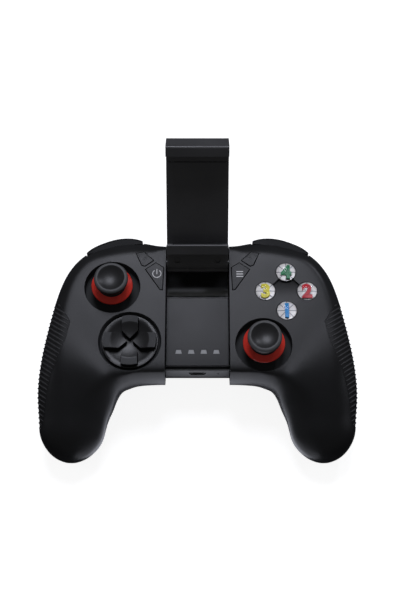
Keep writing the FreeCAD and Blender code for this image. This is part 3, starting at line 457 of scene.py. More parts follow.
def makeFinish(name):
    look = {**finishDefaults, **finishes[name]}
    f = finishShared
    material = bpy.data.materials.new(name)
    material.use_nodes = True
    tree = material.node_tree
    shader = tree.nodes["Principled BSDF"]
    grain = useGroup(tree, grainGroup, {"Grain": 1.0 / (look["grain"] * mm), "Cloud": look["cloud"]})
    wear = useGroup(tree, wearGroup, {"Radius": look["edge"] * mm, "Gain": look["gain"]})
    dust = useGroup(tree, dustGroup, {"Scale": f["dustScale"], "Amount": look["dust"]})
    tone = spread(tree, grain.outputs["Tone"], 0.0, 1.0)
    colour = mixColour(tree, tone, look["dark"], look["light"])
    # Painted light: a pale band on the bay's front wall where the clamp arm's shadow falls, and pale again
    # above the cut, leaving a line of the plain tone between them at the cover's rear edge for the gap's
    # shadow; only near the front
    if "fade" in look:
        fade = look["fade"]
        place = objectPlace(tree)
        rise = ramp(tree, place.outputs["Z"], fade["low"], fade["high"])
        near = ramp(tree, place.outputs["Y"], fade["behind"] + fade["soften"], fade["behind"])
        under = ramp(tree, place.outputs["Z"], fade["cut"] + fade["line"], fade["cut"])
        over = ramp(tree, place.outputs["Z"], fade["cut"] + fade["topLow"], fade["cut"] + fade["topHigh"])
        mask = calculate(tree, "MULTIPLY", rise, under)
        mask = calculate(tree, "MAXIMUM", mask, over)
        mask = calculate(tree, "MULTIPLY", mask, near)
        colour = mixColour(tree, mask, colour, fade["tint"])
    colour = mixColour(tree, wear.outputs["Mask"], colour, look["rubbed"])
    colour = mixColour(tree, dust.outputs["Mask"], colour, f["dustColour"])
    tree.links.new(colour, shader.inputs["Base Color"])
    tree.links.new(spread(tree, grain.outputs["Tone"], *look["rough"]), shader.inputs["Roughness"])
    shader.inputs["Metallic"].default_value = look["metal"]
    shader.inputs["IOR"].default_value = f["refraction"]
    shader.inputs["Specular IOR Level"].default_value = look["gloss"]
    soft = wire(
        tree, "ShaderNodeBevel", {"Radius": look["edge"] * f["softShare"] * mm}, samples=f["softSamples"])
    facing = soft.outputs["Normal"]
    if "curve" in look:
        start, end, depth = look["curve"]
        along = ramp(tree, objectPlace(tree).outputs["Y"], start, end)
        sunk = calculate(tree, "MULTIPLY", calculate(tree, "MULTIPLY", along, along), -1.0)
        facing = wire(tree, "ShaderNodeBump", {
            "Distance": depth * mm, "Strength": 1.0, "Height": sunk, "Normal": facing}).outputs["Normal"]
    bump = wire(tree, "ShaderNodeBump", {
        "Distance": look["depth"] * mm, "Strength": f["grainStrength"],
        "Height": grain.outputs["Height"], "Normal": facing})
    tree.links.new(bump.outputs["Normal"], shader.inputs["Normal"])
    return material


materials = {name: makeFinish(name) for name in finishes}
print("finishes ready:", len(materials))


# The rigid shells and caps: smooth-shaded copies that stand for their CAD nodes

def bodyOf(node):
    return frame["nodes"][node]["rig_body"]


def plainName(node):
    first, *rest = node.split("_")
    return first + "".join(word.capitalize() for word in rest)


def place(name, mesh, body, slot, stands=()):
    piece = bpy.data.objects.new(name, mesh)
    scene.collection.objects.link(piece)
    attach(piece, body)
    if stands:
        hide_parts(*stands)
    return piece


# Points of a CAD mesh that lie this close are one point
weld = 2e-6


def smoothCopy(node, angle):
    mesh = frame["nodes"][node].data.copy()
    shape = bmesh.new()
    shape.from_mesh(mesh)
    bmesh.ops.remove_doubles(shape, verts=shape.verts, dist=weld)
    limit = math.radians(angle)
    for face in shape.faces:
        face.smooth = True
    for edge in shape.edges:
        edge.smooth = len(edge.link_faces) == 2 and edge.calc_face_angle(0) < limit
    shape.to_mesh(mesh)
    shape.free()
    mesh.materials.clear()
    return mesh


# Finish, angle over which an edge stays sharp, nodes
shells = [
    ("casingPlastic", 24, ["left_upper_casing", "right_upper_casing", "lower_casing"]),
    ("coverPlastic", 30, ["centre_cover"]),
    ("ledLens", 30, ["led_windows"]),
    ("bezelPlastic", 30, ["front_bezel"]),
    ("connectorSteel", 30, ["usb_port"]),
    ("bayPlastic", 30, ["clamp_bay"]),
    ("dpadPlastic", 30, ["dpad_plate", "dpad_right_key", "dpad_up_key", "dpad_left_key", "dpad_down_key"]),
    ("keyPlastic", 30, ["power_key", "select_key", "menu_key", "start_key"]),
    ("ringRed", 30, ["left_stick_ring", "right_stick_ring"]),
    ("stickPlastic", 30, ["left_stick_stem", "right_stick_stem"]),
    ("stickRubber", 30, ["left_stick_cap", "right_stick_cap"]),
    ("triggerPlastic", 30, ["left_bumper", "right_bumper", "left_trigger", "right_trigger"]),
    ("gripRubber", 24, ["left_grip", "right_grip"]),
    ("fastenerSteel", 30, ["clamp_hinge_pins"]),
    ("clampPlastic", 30, ["clamp_arm", "clamp_slider"]),
    ("padRubber", 30, ["lower_jaw_pad", "upper_jaw_pad"]),
    ("springSteel", 60, ["clamp_springs", "left_trigger_spring", "right_trigger_spring"]),
]

stickRim = {"width": 1.78, "drop": 1.2}


# Round a stick's dish the top of the rim is painted paler: partly rubbed wear, partly a painted highlight
# for the light the rounded rim catches
def paleRim(node, mesh):
    low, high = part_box(node)
    centre = (Vector(low) + Vector(high)) / 2
    dish = (high[0] - low[0]) / 2 - stickRim["width"] * mm
    mesh.materials.append(materials["rimWearAndHighlight"])
    for face in mesh.polygons:
        away = (face.center - centre).to_2d().length
        if away > dish and face.center.z > high[2] - stickRim["drop"] * mm:
            face.material_index = 1


# node: what stands in the middle of each well, the well's radius, its finish
wells = {
    "left_upper_casing": [("left_stick_cap", 14.9, "socketPaintedLight"), ("dpad_plate", 16.5, "socketPaintedLight")],
    "right_upper_casing": [
        ("right_stick_cap", 14.9, "socketPaintedLight"), ("face_button_membrane", 11.5, "slopePaintedShade")],
    "faceLevel": 38.0,
    "depth": 0.03,
    "reach": 5,
}


# Painted light and shade in the wells sunk into the casings: the stick and D-pad wells take a paler finish
# than the face round them, to lift the shade that falls in them, and the hollow between the face buttons
# takes a darker one, as painted shade
def paintedWellLightAndShade(node, mesh):
    level = (wells["faceLevel"] - wells["depth"]) * mm
    for middle, radius, finish in wells[node]:
        mesh.materials.append(materials[finish])
        low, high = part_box(middle)
        centre = ((Vector(low) + Vector(high)) / 2).to_2d()
        for face in mesh.polygons:
            inside = (face.center.to_2d() - centre).length < radius * mm and face.material_index == 0
            if inside and level - wells["reach"] * mm < face.center.z < level:
                face.material_index = len(mesh.materials) - 1


keyBand = {"inner": 9.9, "upright": 0.8}


# Matt outer bands on the direction keys
def mattBand(node, mesh):
    low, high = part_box("dpad_plate")
    centre = ((Vector(low) + Vector(high)) / 2).to_2d()
    mesh.materials.append(materials["bandPlastic"])
    for face in mesh.polygons:
        away = (face.center.to_2d() - centre).length
        if away > keyBand["inner"] * mm and face.normal.z > keyBand["upright"]:
            face.material_index = 1


jawLip = {"facing": (0.0, 0.687, 0.727), "match": 0.9, "behind": 30.5, "above": 46}


# Painted highlight: the faces at the end of the lower jaw's lip that face up and back are painted pale, for
# the light line along that edge
def paintedLipHighlight(mesh):
    mesh.materials.append(materials["lipPaintedHighlight"])
    end = Vector(jawLip["facing"])
    for face in mesh.polygons:
        near = face.center.y < jawLip["behind"] * mm and face.center.z > jawLip["above"] * mm
        if near and face.normal.dot(end) > jawLip["match"]:
            face.material_index = 1


# The record's slots have the finishes' names, written with low bars
def slotName(finish):
    return "".join("_" + letter.lower() if letter.isupper() else letter for letter in finish)


def dressShell(node, finish, angle):
    mesh = smoothCopy(node, angle)
    mesh.materials.append(materials[finish])
    if node.startswith("dpad_") and node.endswith("_key"):
        mattBand(node, mesh)
    if node == "clamp_arm":
        paintedLipHighlight(mesh)
    if node.endswith("_stick_cap"):
        paleRim(node, mesh)
    if node in wells:
        paintedWellLightAndShade(node, mesh)
    place(plainName(node), mesh, bodyOf(node), slotName(finish), [node])


for finish, angle, nodes in shells:
    for node in nodes:
        dressShell(node, finish, angle)
print("shells dressed:", sum(len(nodes) for finish, angle, nodes in shells))


# Inner parts keep their CAD meshes and get their finishes
innerParts = {
    "boardLaminate": ["circuit_board"],
    "batteryWrap": ["battery_pack"],
    "membraneRubber": ["dpad_membrane", "face_button_membrane", "menu_key_membranes"],
    "ledBody": ["indicator_lights"],
    "stickPlastic": ["left_stick_box", "right_stick_box", "left_stick_rocker", "right_stick_rocker",
                     "left_stick_yoke", "right_stick_yoke"],
    "fastenerSteel": ["left_trigger_pin", "right_trigger_pin"],
}

for finish, nodes in innerParts.items():
    for node in nodes:
        owner = frame["nodes"][node]
        owner.data.materials.clear()
        owner.data.materials.append(materials[finish])
print("inner parts finished")


# Face buttons: dark cup, silver disc, coloured digit under a clear dome

faceButtons = {
    "radius": 5.13,
    "skirtRadius": 6.05,
    "stemRadius": 2.2,
    "wall": 0.3,
    "seat": 3.3,
    "rim": 2.72,
    "skirtTop": 4.95,
    "skirtDepth": 1.2,
    "discSunk": 0.1,
    "discEdge": 0.25,
    "discMiddle": 0.45,
    "seam": 0.02,
    "sideSeam": 0.01,
    "digitSeat": 0.3,
    "domeSteps": 96,
    "digitHeight": 7.6,
    "digitRise": 0.75,
    "dull": 2.1,
    "faces": {
        "face_button_top": ("4", "digitGreen", "button_green"),
        "face_button_left": ("3", "digitYellow", "button_yellow"),
        "face_button_right": ("2", "digitRed", "button_red"),
        "face_button_bottom": ("1", "digitBlue", "button_blue"),
    },
}


# A closed solid turned about an upright axis; the profile runs from axis to axis
def turnedMesh(name, profile, centre, steps=72):
    shape = bmesh.new()
    rings = []
    for radius, height in profile:
        if radius < 1e-9:
            rings.append([shape.verts.new((centre[0], centre[1], height))])
            continue
        ring = []
        for step in range(steps):
            turn = 2 * math.pi * step / steps
            x = centre[0] + radius * math.cos(turn)
            y = centre[1] + radius * math.sin(turn)
            ring.append(shape.verts.new((x, y, height)))
        rings.append(ring)
    for inner, outer in zip(rings, rings[1:]):
        for step in range(steps):
            after = (step + 1) % steps
            if len(inner) == 1:
                shape.faces.new((inner[0], outer[after], outer[step]))
            elif len(outer) == 1:
                shape.faces.new((inner[step], inner[after], outer[0]))
            else:
                shape.faces.new((inner[step], inner[after], outer[after], outer[step]))
    bmesh.ops.recalc_face_normals(shape, faces=shape.faces)
    limit = math.radians(28)
    for face in shape.faces:
        face.smooth = True
    for edge in shape.edges:
        edge.smooth = edge.calc_face_angle(0) < limit
    mesh = bpy.data.meshes.new(name)
    shape.to_mesh(mesh)
    shape.free()
    return mesh


# Flattened dome: an upright oval whose corners are filled out
def domeProfile(radius, low, high, steps=16):
    full = faceButtons["dull"]
    points = []
    for step in range(steps + 1):
        turn = math.pi / 2 * step / steps
        out = math.cos(turn) ** (2 / full)
        up = math.sin(turn) ** (2 / full)
        points.append((radius * out, low + (high - low) * up))
    points[-1] = (0, high)
    return points


domeGlass = {
    "colour": (0.97, 0.98, 0.98, 1),
    "refraction": 1.24,
    "wipes": {"Grain": 900.0, "Cloud": 260.0},
    "rough": (0.015, 0.05),
}


def makeDomeGlass():
    material = bpy.data.materials.new("domeClear")
    material.use_nodes = True
    tree = material.node_tree
    shader = tree.nodes["Principled BSDF"]
    shader.inputs["Base Color"].default_value = domeGlass["colour"]
    shader.inputs["Transmission Weight"].default_value = 1.0
    shader.inputs["IOR"].default_value = domeGlass["refraction"]
    wipes = useGroup(tree, grainGroup, domeGlass["wipes"])
    tree.links.new(spread(tree, wipes.outputs["Tone"], *domeGlass["rough"]), shader.inputs["Roughness"])
    return material


discLook = {
    "halfSpokes": 4.0,
    "spoke": (0.10, 0.26),
    "turnings": 60.0,
    "dark": (0.335, 0.32, 0.305),
    "light": (0.43, 0.41, 0.39),
    "spokeColour": (0.10, 0.10, 0.115),
    "cloud": {"Grain": 3000.0, "Cloud": 300.0},
    "rough": (0.3, 0.42),
    "metal": 0.1,
    "relief": 0.03,
    "reliefStrength": 0.8,
}


# Silver disc with thin dark spokes, drawn from its own flat map
def makeDiscSilver():
    d = discLook
    material = bpy.data.materials.new("discSilver")
    material.use_nodes = True
    tree = material.node_tree
    shader = tree.nodes["Principled BSDF"]
    flat = tree.nodes.new("ShaderNodeUVMap")
    flat.uv_map = "flat"
    split = wire(tree, "ShaderNodeSeparateXYZ", {0: flat.outputs["UV"]})
    turn = calculate(tree, "ARCTAN2", split.outputs["Y"], split.outputs["X"])
    away = wire(tree, "ShaderNodeVectorMath", {0: flat.outputs["UV"]}, operation="LENGTH").outputs["Value"]
    turns = calculate(tree, "MULTIPLY", turn, d["halfSpokes"])
    wave = calculate(tree, "ABSOLUTE", calculate(tree, "SINE", turns))
    width = calculate(tree, "MULTIPLY", wave, away)
    line = wire(tree, "ShaderNodeMapRange", {
        "Value": width, "From Min": d["spoke"][0], "From Max": d["spoke"][1], "To Min": 1.0, "To Max": 0.0})
    rings = calculate(tree, "SINE", calculate(tree, "MULTIPLY", away, d["turnings"]))
    tone = wire(tree, "ShaderNodeMapRange", {"Value": rings, "From Min": -1.0, "To Min": 0.0, "To Max": 1.0})
    colour = mixColour(tree, tone.outputs["Result"], d["dark"], d["light"])
    colour = mixColour(tree, line.outputs["Result"], colour, d["spokeColour"])
    tree.links.new(colour, shader.inputs["Base Color"])
    cloud = useGroup(tree, grainGroup, d["cloud"])
    tree.links.new(spread(tree, cloud.outputs["Tone"], *d["rough"]), shader.inputs["Roughness"])
    shader.inputs["Metallic"].default_value = d["metal"]
    bump = wire(tree, "ShaderNodeBump", {
        "Distance": d["relief"] * mm, "Strength": d["reliefStrength"], "Height": line.outputs["Result"]})
    tree.links.new(bump.outputs["Normal"], shader.inputs["Normal"])
    return material


def flatMap(mesh, centre, radius):
    layer = mesh.uv_layers.new(name="flat")
    for loop in mesh.loops:
        spot = mesh.vertices[loop.vertex_index].co
        layer.data[loop.index].uv = ((spot.x - centre[0]) / radius, (spot.y - centre[1]) / radius)


# The lettering before it is brought to its size
digitShape = {
    "size": 0.01,
    "extrude": 0.0004,
    "offset": 0.00042,
    "bevel": 0.00012,
    "bevelSteps": 2,
    "curveSteps": 8,
    "weld": 1e-6,
}


# A raised character, centred on a place, as tall as asked
def digitMesh(text, centre, height, low, rise):
    curve = bpy.data.curves.new("digit" + text, "FONT")
    curve.body = text
    curve.size = digitShape["size"]
    curve.extrude = digitShape["extrude"]
    curve.offset = digitShape["offset"]
    curve.bevel_depth = digitShape["bevel"]
    curve.bevel_resolution = digitShape["bevelSteps"]
    curve.resolution_u = digitShape["curveSteps"]
    lettering = bpy.data.objects.new("lettering", curve)
    scene.collection.objects.link(lettering)
    graph = bpy.context.evaluated_depsgraph_get()
    mesh = bpy.data.meshes.new_from_object(lettering.evaluated_get(graph))
    bpy.data.objects.remove(lettering)
    least, most = [
        Vector([pick(v.co[axis] for v in mesh.vertices) for axis in range(3)]) for pick in (min, max)]
    middle = (least + most) / 2
    extent = most - least
    widen = height / extent.y
    lift = rise / extent.z
    for vertex in mesh.vertices:
        away = vertex.co - middle
        vertex.co = (centre[0] + away.x * widen, centre[1] + away.y * widen, low + rise / 2 + away.z * lift)
    shape = bmesh.new()
    shape.from_mesh(mesh)
    bmesh.ops.remove_doubles(shape, verts=shape.verts, dist=digitShape["weld"])
    bmesh.ops.recalc_face_normals(shape, faces=shape.faces)
    shape.to_mesh(mesh)
    shape.free()
    return mesh


def addFaceButton(node, text, tint, slot):
    f = faceButtons
    low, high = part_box(node)
    centre = ((low[0] + high[0]) / 2, (low[1] + high[1]) / 2)
    top = high[2]
    body = bodyOf(node)
    name = plainName(node)
    inner = (f["radius"] - f["wall"]) * mm
    seat = top - f["seat"] * mm
    rim = top - f["rim"] * mm
    under = top - f["skirtTop"] * mm
    skirtLow = under - f["skirtDepth"] * mm
    seam = f["seam"] * mm
    side = inner - f["sideSeam"] * mm
    cup = [
        (0, low[2]), (f["stemRadius"] * mm, low[2]), (f["stemRadius"] * mm, skirtLow),
        (f["skirtRadius"] * mm, skirtLow), (f["skirtRadius"] * mm, under), (f["radius"] * mm, under),
        (f["radius"] * mm, rim), (inner, rim), (inner, seat), (0, seat),
    ]
    disc = [
        (0, seat - f["discSunk"] * mm), (inner, seat - f["discSunk"] * mm),
        (inner, seat + f["discEdge"] * mm), (0, seat + f["discMiddle"] * mm),
    ]
    dome = [(0, seat + seam), (side, seat + seam), (side, rim + seam)]
    dome += domeProfile(f["radius"] * mm, rim + seam, top)
    cupMesh = turnedMesh(name + "Cup", cup, centre)
    cupMesh.materials.append(materials["stickPlastic"])
    discMesh = turnedMesh(name + "Disc", disc, centre)
    flatMap(discMesh, centre, inner)
    discMesh.materials.append(discSilver)
    domeMesh = turnedMesh(name + "Dome", dome, centre, f["domeSteps"])
    domeMesh.materials.append(domeClear)
    digitLow = seat + f["digitSeat"] * mm
    digit = digitMesh(text, centre, f["digitHeight"] * mm, digitLow, f["digitRise"] * mm)
    digit.materials.append(materials[tint])
    place(name + "Cup", cupMesh, body, slot, [node])
    place(name + "Disc", discMesh, body, slot)
    place(name + "Digit", digit, body, slot)
    place(name + "Dome", domeMesh, body, slot).visible_shadow = False


domeClear = makeDomeGlass()
discSilver = makeDiscSilver()
for node, (text, tint, slot) in faceButtons["faces"].items():
    addFaceButton(node, text, tint, slot)
print("face buttons ready")


# Printed marks on the menu keys and on the direction keys

marks = {
    "proud": 0.03,
    "sunk": 0.05,
    "power": {"place": (-21.4, 1.4), "outer": 2.4, "line": 0.42, "open": 34, "stem": (-0.3, 2.7)},
    "bars": {"place": (22.2, 1.2), "width": 3.6, "line": 0.5, "step": 1.4},
    "small": {"width": 1.7, "line": 0.32, "step": 0.75, "turn": 40},
    "arrow": {"reach": 11.9, "size": 0.75, "tip": 0.7, "tail": 0.5},
}


# A thin plate with the given outline, sunk a little into the face that it is printed on
def printed(name, outlines, level):
    shape = bmesh.new()
    for outline in outlines:
        base = level - marks["sunk"] * mm
        low = [shape.verts.new((x, y, base)) for x, y in outline]
        face = shape.faces.new(low)
        lifted = bmesh.ops.extrude_face_region(shape, geom=[face])
        for item in lifted["geom"]:
            if isinstance(item, bmesh.types.BMVert):
                item.co.z = level + marks["proud"] * mm
    bmesh.ops.recalc_face_normals(shape, faces=shape.faces)
    bmesh.ops.triangulate(shape, faces=shape.faces)
    mesh = bpy.data.meshes.new(name)
    shape.to_mesh(mesh)
    shape.free()
    return mesh


def bar(x, y, width, height, turn=0.0):
    c = math.cos(math.radians(turn))
    s = math.sin(math.radians(turn))
    a, b = width / 2, height / 2
    corners = [(-a, -b), (a, -b), (a, b), (-a, b)]
    return [((x + a * c - b * s) * mm, (y + a * s + b * c) * mm) for a, b in corners]


def openRing(x, y, outer, line, gap, steps=40):
    sweep = [math.radians(90 + gap + (360 - 2 * gap) * step / steps) for step in range(steps + 1)]
    points = [(x + outer * math.cos(turn), y + outer * math.sin(turn)) for turn in sweep]
    inner = outer - line
    points += [(x + inner * math.cos(turn), y + inner * math.sin(turn)) for turn in sweep[::-1]]
    return [(a * mm, b * mm) for a, b in points]


def keyMiddle(node):
    low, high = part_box(node)
    return [(low[axis] + high[axis]) / 2 / mm for axis in (0, 1)], high[2]


def addMark(name, outlines, level, node, finish, slot):
    mesh = printed(name, outlines, level)
    mesh.materials.append(materials[finish])
    place(name, mesh, bodyOf(node), slot)


def addMenuMarks():
    (x, y), level = keyMiddle("power_key")
    m = marks["power"]
    x, y = m["place"][0], y + m["place"][1]
    low, high = m["stem"]
    power = [openRing(x, y, m["outer"], m["line"], m["open"])]
    power.append(bar(x, y + (low + high) / 2, m["line"], high - low))
    addMark("powerMark", power, level, "power_key", "keyMark", "key_plastic")
    (x, y), level = keyMiddle("menu_key")
    m = marks["bars"]
    x, y = m["place"][0], y + m["place"][1]
    bars = [bar(x, y + step * m["step"], m["width"], m["line"]) for step in (-1, 0, 1)]
    addMark("menuMark", bars, level, "menu_key", "keyMark", "key_plastic")
    m = marks["small"]
    for node, turn in (("select_key", -m["turn"]), ("start_key", m["turn"])):
        (x, y), level = keyMiddle(node)
        lines = []
        for step in (-1, 0, 1):
            a = math.radians(turn + 90)
            away = step * m["step"]
            lines.append(bar(x + math.cos(a) * away, y + math.sin(a) * away, m["width"], m["line"], turn))
        addMark(plainName(node) + "Mark", lines, level, node, "faintMark", "key_plastic")


# A small arrowhead on each direction key's outer band
def addArrows():
    low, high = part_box("dpad_plate")
    x, y = [(low[axis] + high[axis]) / 2 / mm for axis in (0, 1)]
    m = marks["arrow"]
    for side, turn in (("right", 0), ("up", 90), ("left", 180), ("down", 270)):
        node = "dpad_" + side + "_key"
        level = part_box(node)[1][2]
        c = math.cos(math.radians(turn))
        s = math.sin(math.radians(turn))
        h = m["size"]
        tail = m["reach"] - h * m["tail"]
        corners = [(m["reach"] + h * m["tip"], 0), (tail, h), (tail, -h)]
        points = [((x + a * c - b * s) * mm, (y + a * s + b * c) * mm) for a, b in corners]
        addMark(plainName(node) + "Mark", [points], level, node, "faintMark", "dpad_plastic")


addMenuMarks()
addArrows()
print("marks printed")


# Geometry nodes: screws under the casing and ribs round the grips

def newNodes(name, inputs):
    tree = bpy.data.node_groups.new(name, "GeometryNodeTree")
    tree.interface.new_socket(name="Geometry", in_out="INPUT", socket_type="NodeSocketGeometry")
    for label, (kind, value) in inputs.items():
        socket = tree.interface.new_socket(name=label, in_out="INPUT", socket_type="NodeSocket" + kind)
        if value is not None:
            socket.default_value = value
    tree.interface.new_socket(name="Geometry", in_out="OUTPUT", socket_type="NodeSocketGeometry")
    return tree, tree.nodes.new("NodeGroupInput").outputs, tree.nodes.new("NodeGroupOutput")


# Runs a tree on a seed mesh and keeps the plain result
def grow(name, seedMesh, tree, values):
    seed = bpy.data.objects.new(name + "Seed", seedMesh)
    scene.collection.objects.link(seed)
    modifier = seed.modifiers.new("grow", "NODES")
    modifier.node_group = tree
    for item in tree.interface.items_tree:
        if item.item_type == "SOCKET" and item.in_out == "INPUT" and item.name in values:
            modifier[item.identifier] = values[item.name]
    graph = bpy.context.evaluated_depsgraph_get()
    mesh = bpy.data.meshes.new_from_object(seed.evaluated_get(graph))
    seed.modifiers.remove(modifier)
    bpy.data.objects.remove(seed)
    mesh.name = name
    return mesh


caseScrews = {
    "headRadius": 2.2,
    "headHeight": 1.6,
    "crown": 0.25,
    "slotLength": 2.5,
    "slotWidth": 0.6,
    "slotDepth": 0.9,
    "shankRadius": 1.15,
    "seed": 4,
    "headSides": 40,
    "shankSides": 24,
    "underside": -0.1,
}


def buildScrews():
    tree, given, end = newNodes("caseScrewNodes", {
        "Head Radius": ("Float", 0.002), "Head Height": ("Float", 0.0016), "Crown": ("Float", 0.0002),
        "Slot Length": ("Float", 0.0024), "Slot Width": ("Float", 0.0006), "Slot Depth": ("Float", 0.0009),
        "Shank Radius": ("Float", 0.001), "Shank Length": ("Float", 0.012), "Seed": ("Int", 1),
        "Material": ("Material", None)})
    head = wire(tree, "GeometryNodeMeshCylinder", {
        "Vertices": caseScrews["headSides"], "Side Segments": 2, "Fill Segments": 4,
        "Radius": given["Head Radius"], "Depth": given["Head Height"]})
    place = tree.nodes.new("GeometryNodeInputPosition").outputs[0]
    split = wire(tree, "ShaderNodeSeparateXYZ", {0: place})
    flat = wire(tree, "ShaderNodeCombineXYZ", {
        "X": split.outputs["X"], "Y": split.outputs["Y"]}).outputs[0]
    away = wire(tree, "ShaderNodeVectorMath", {0: flat}, operation="LENGTH").outputs["Value"]
    share = calculate(tree, "DIVIDE", away, given["Head Radius"])
    lift = calculate(tree, "MULTIPLY", calculate(tree, "MULTIPLY", share, share), given["Crown"])
    below = wire(
        tree, "FunctionNodeCompare", {0: split.outputs["Z"], 1: caseScrews["underside"] * mm},
        data_type="FLOAT", operation="LESS_THAN")
    offset = wire(tree, "ShaderNodeCombineXYZ", {"Z": lift}).outputs[0]
    crowned = wire(tree, "GeometryNodeSetPosition", {
        "Geometry": head.outputs["Mesh"], "Selection": below.outputs[0], "Offset": offset})
    size = wire(tree, "ShaderNodeCombineXYZ", {
        "X": given["Slot Length"], "Y": given["Slot Width"],
        "Z": calculate(tree, "MULTIPLY", given["Slot Depth"], 2.0)})
    slotBox = wire(tree, "GeometryNodeMeshCube", {"Size": size.outputs[0]})
    sunk = calculate(tree, "MULTIPLY", given["Head Height"], -0.5)
    down = wire(tree, "ShaderNodeCombineXYZ", {"Z": sunk}).outputs[0]
    first = wire(tree, "GeometryNodeTransform", {"Geometry": slotBox.outputs["Mesh"], "Translation": down})
    second = wire(tree, "GeometryNodeTransform", {
        "Geometry": slotBox.outputs["Mesh"], "Translation": down, "Rotation": (0, 0, math.pi / 2)})
    cut = wire(tree, "GeometryNodeMeshBoolean", {"Mesh 1": crowned.outputs[0]}, operation="DIFFERENCE")
    tree.links.new(first.outputs[0], cut.inputs["Mesh 2"])
    tree.links.new(second.outputs[0], cut.inputs["Mesh 2"])
    shank = wire(tree, "GeometryNodeMeshCylinder", {
        "Vertices": caseScrews["shankSides"], "Radius": given["Shank Radius"],
        "Depth": given["Shank Length"]})
    reach = calculate(tree, "ADD", given["Head Height"], given["Shank Length"])
    rise = calculate(tree, "MULTIPLY", reach, 0.5)
    up = wire(tree, "ShaderNodeCombineXYZ", {"Z": rise}).outputs[0]
    lifted = wire(tree, "GeometryNodeTransform", {"Geometry": shank.outputs["Mesh"], "Translation": up})
    whole = tree.nodes.new("GeometryNodeJoinGeometry")
    tree.links.new(cut.outputs["Mesh"], whole.inputs[0])
    tree.links.new(lifted.outputs[0], whole.inputs[0])
    turn = wire(
        tree, "FunctionNodeRandomValue", {"Max": (0, 0, 2 * math.pi), "Seed": given["Seed"]},
        data_type="FLOAT_VECTOR")
    each = wire(tree, "GeometryNodeInstanceOnPoints", {
        "Points": given["Geometry"], "Instance": whole.outputs[0], "Rotation": turn.outputs[0]})
    plain = wire(tree, "GeometryNodeRealizeInstances", {"Geometry": each.outputs[0]})
    dressed = wire(tree, "GeometryNodeSetMaterial", {
        "Geometry": plain.outputs[0], "Material": given["Material"]})
    tree.links.new(dressed.outputs[0], end.inputs[0])
    return tree


# Each screw's middle across, its lowest and its highest point, read from the CAD node
def screwSpots(node):
    shape = bmesh.new()
    shape.from_mesh(frame["nodes"][node].data)
    bmesh.ops.remove_doubles(shape, verts=shape.verts, dist=weld)
    spots = []
    waiting = set(shape.verts)
    while waiting:
        group = [waiting.pop()]
        for vertex in group:
            for edge in vertex.link_edges:
                other = edge.other_vert(vertex)
                if other in waiting:
                    waiting.remove(other)
                    group.append(other)
        xs, ys, zs = [[vertex.co[axis] for vertex in group] for axis in range(3)]
        spots.append(((min(xs) + max(xs)) / 2, (min(ys) + max(ys)) / 2, min(zs), max(zs)))
    shape.free()
    return sorted(spots)


def addScrews():
    c = caseScrews
    spots = screwSpots("case_screws")
    height = c["headHeight"] * mm
    seeds = bpy.data.meshes.new("screwSeeds")
    seeds.from_pydata([(x, y, low + height / 2) for x, y, low, high in spots], [], [])
    mesh = grow("caseScrews", seeds, buildScrews(), {
        "Head Radius": c["headRadius"] * mm, "Head Height": height, "Crown": c["crown"] * mm,
        "Slot Length": c["slotLength"] * mm, "Slot Width": c["slotWidth"] * mm,
        "Slot Depth": c["slotDepth"] * mm, "Shank Radius": c["shankRadius"] * mm,
        "Shank Length": spots[0][3] - spots[0][2] - height,
        "Seed": c["seed"], "Material": materials["fastenerSteel"]})
    place("caseScrews", mesh, bodyOf("case_screws"), "fastener_steel", ["case_screws"])


gripRibs = {
    "count": 34,
    "pitch": 2.6,
    "first": -69.35,
    "pivot": (75.0, 20.0),
    "axis": (66.0, 18.0),
    "reach": 45.0,
    "slant": 30.0,
    "lean": 20.0,
    "width": 0.8,
    "samples": 90,
    "taper": 7.0,
    "thinnest": 0.35,
    "sweepStart": -50,
    "sweep": 150,
    "profileSteps": 10,
}


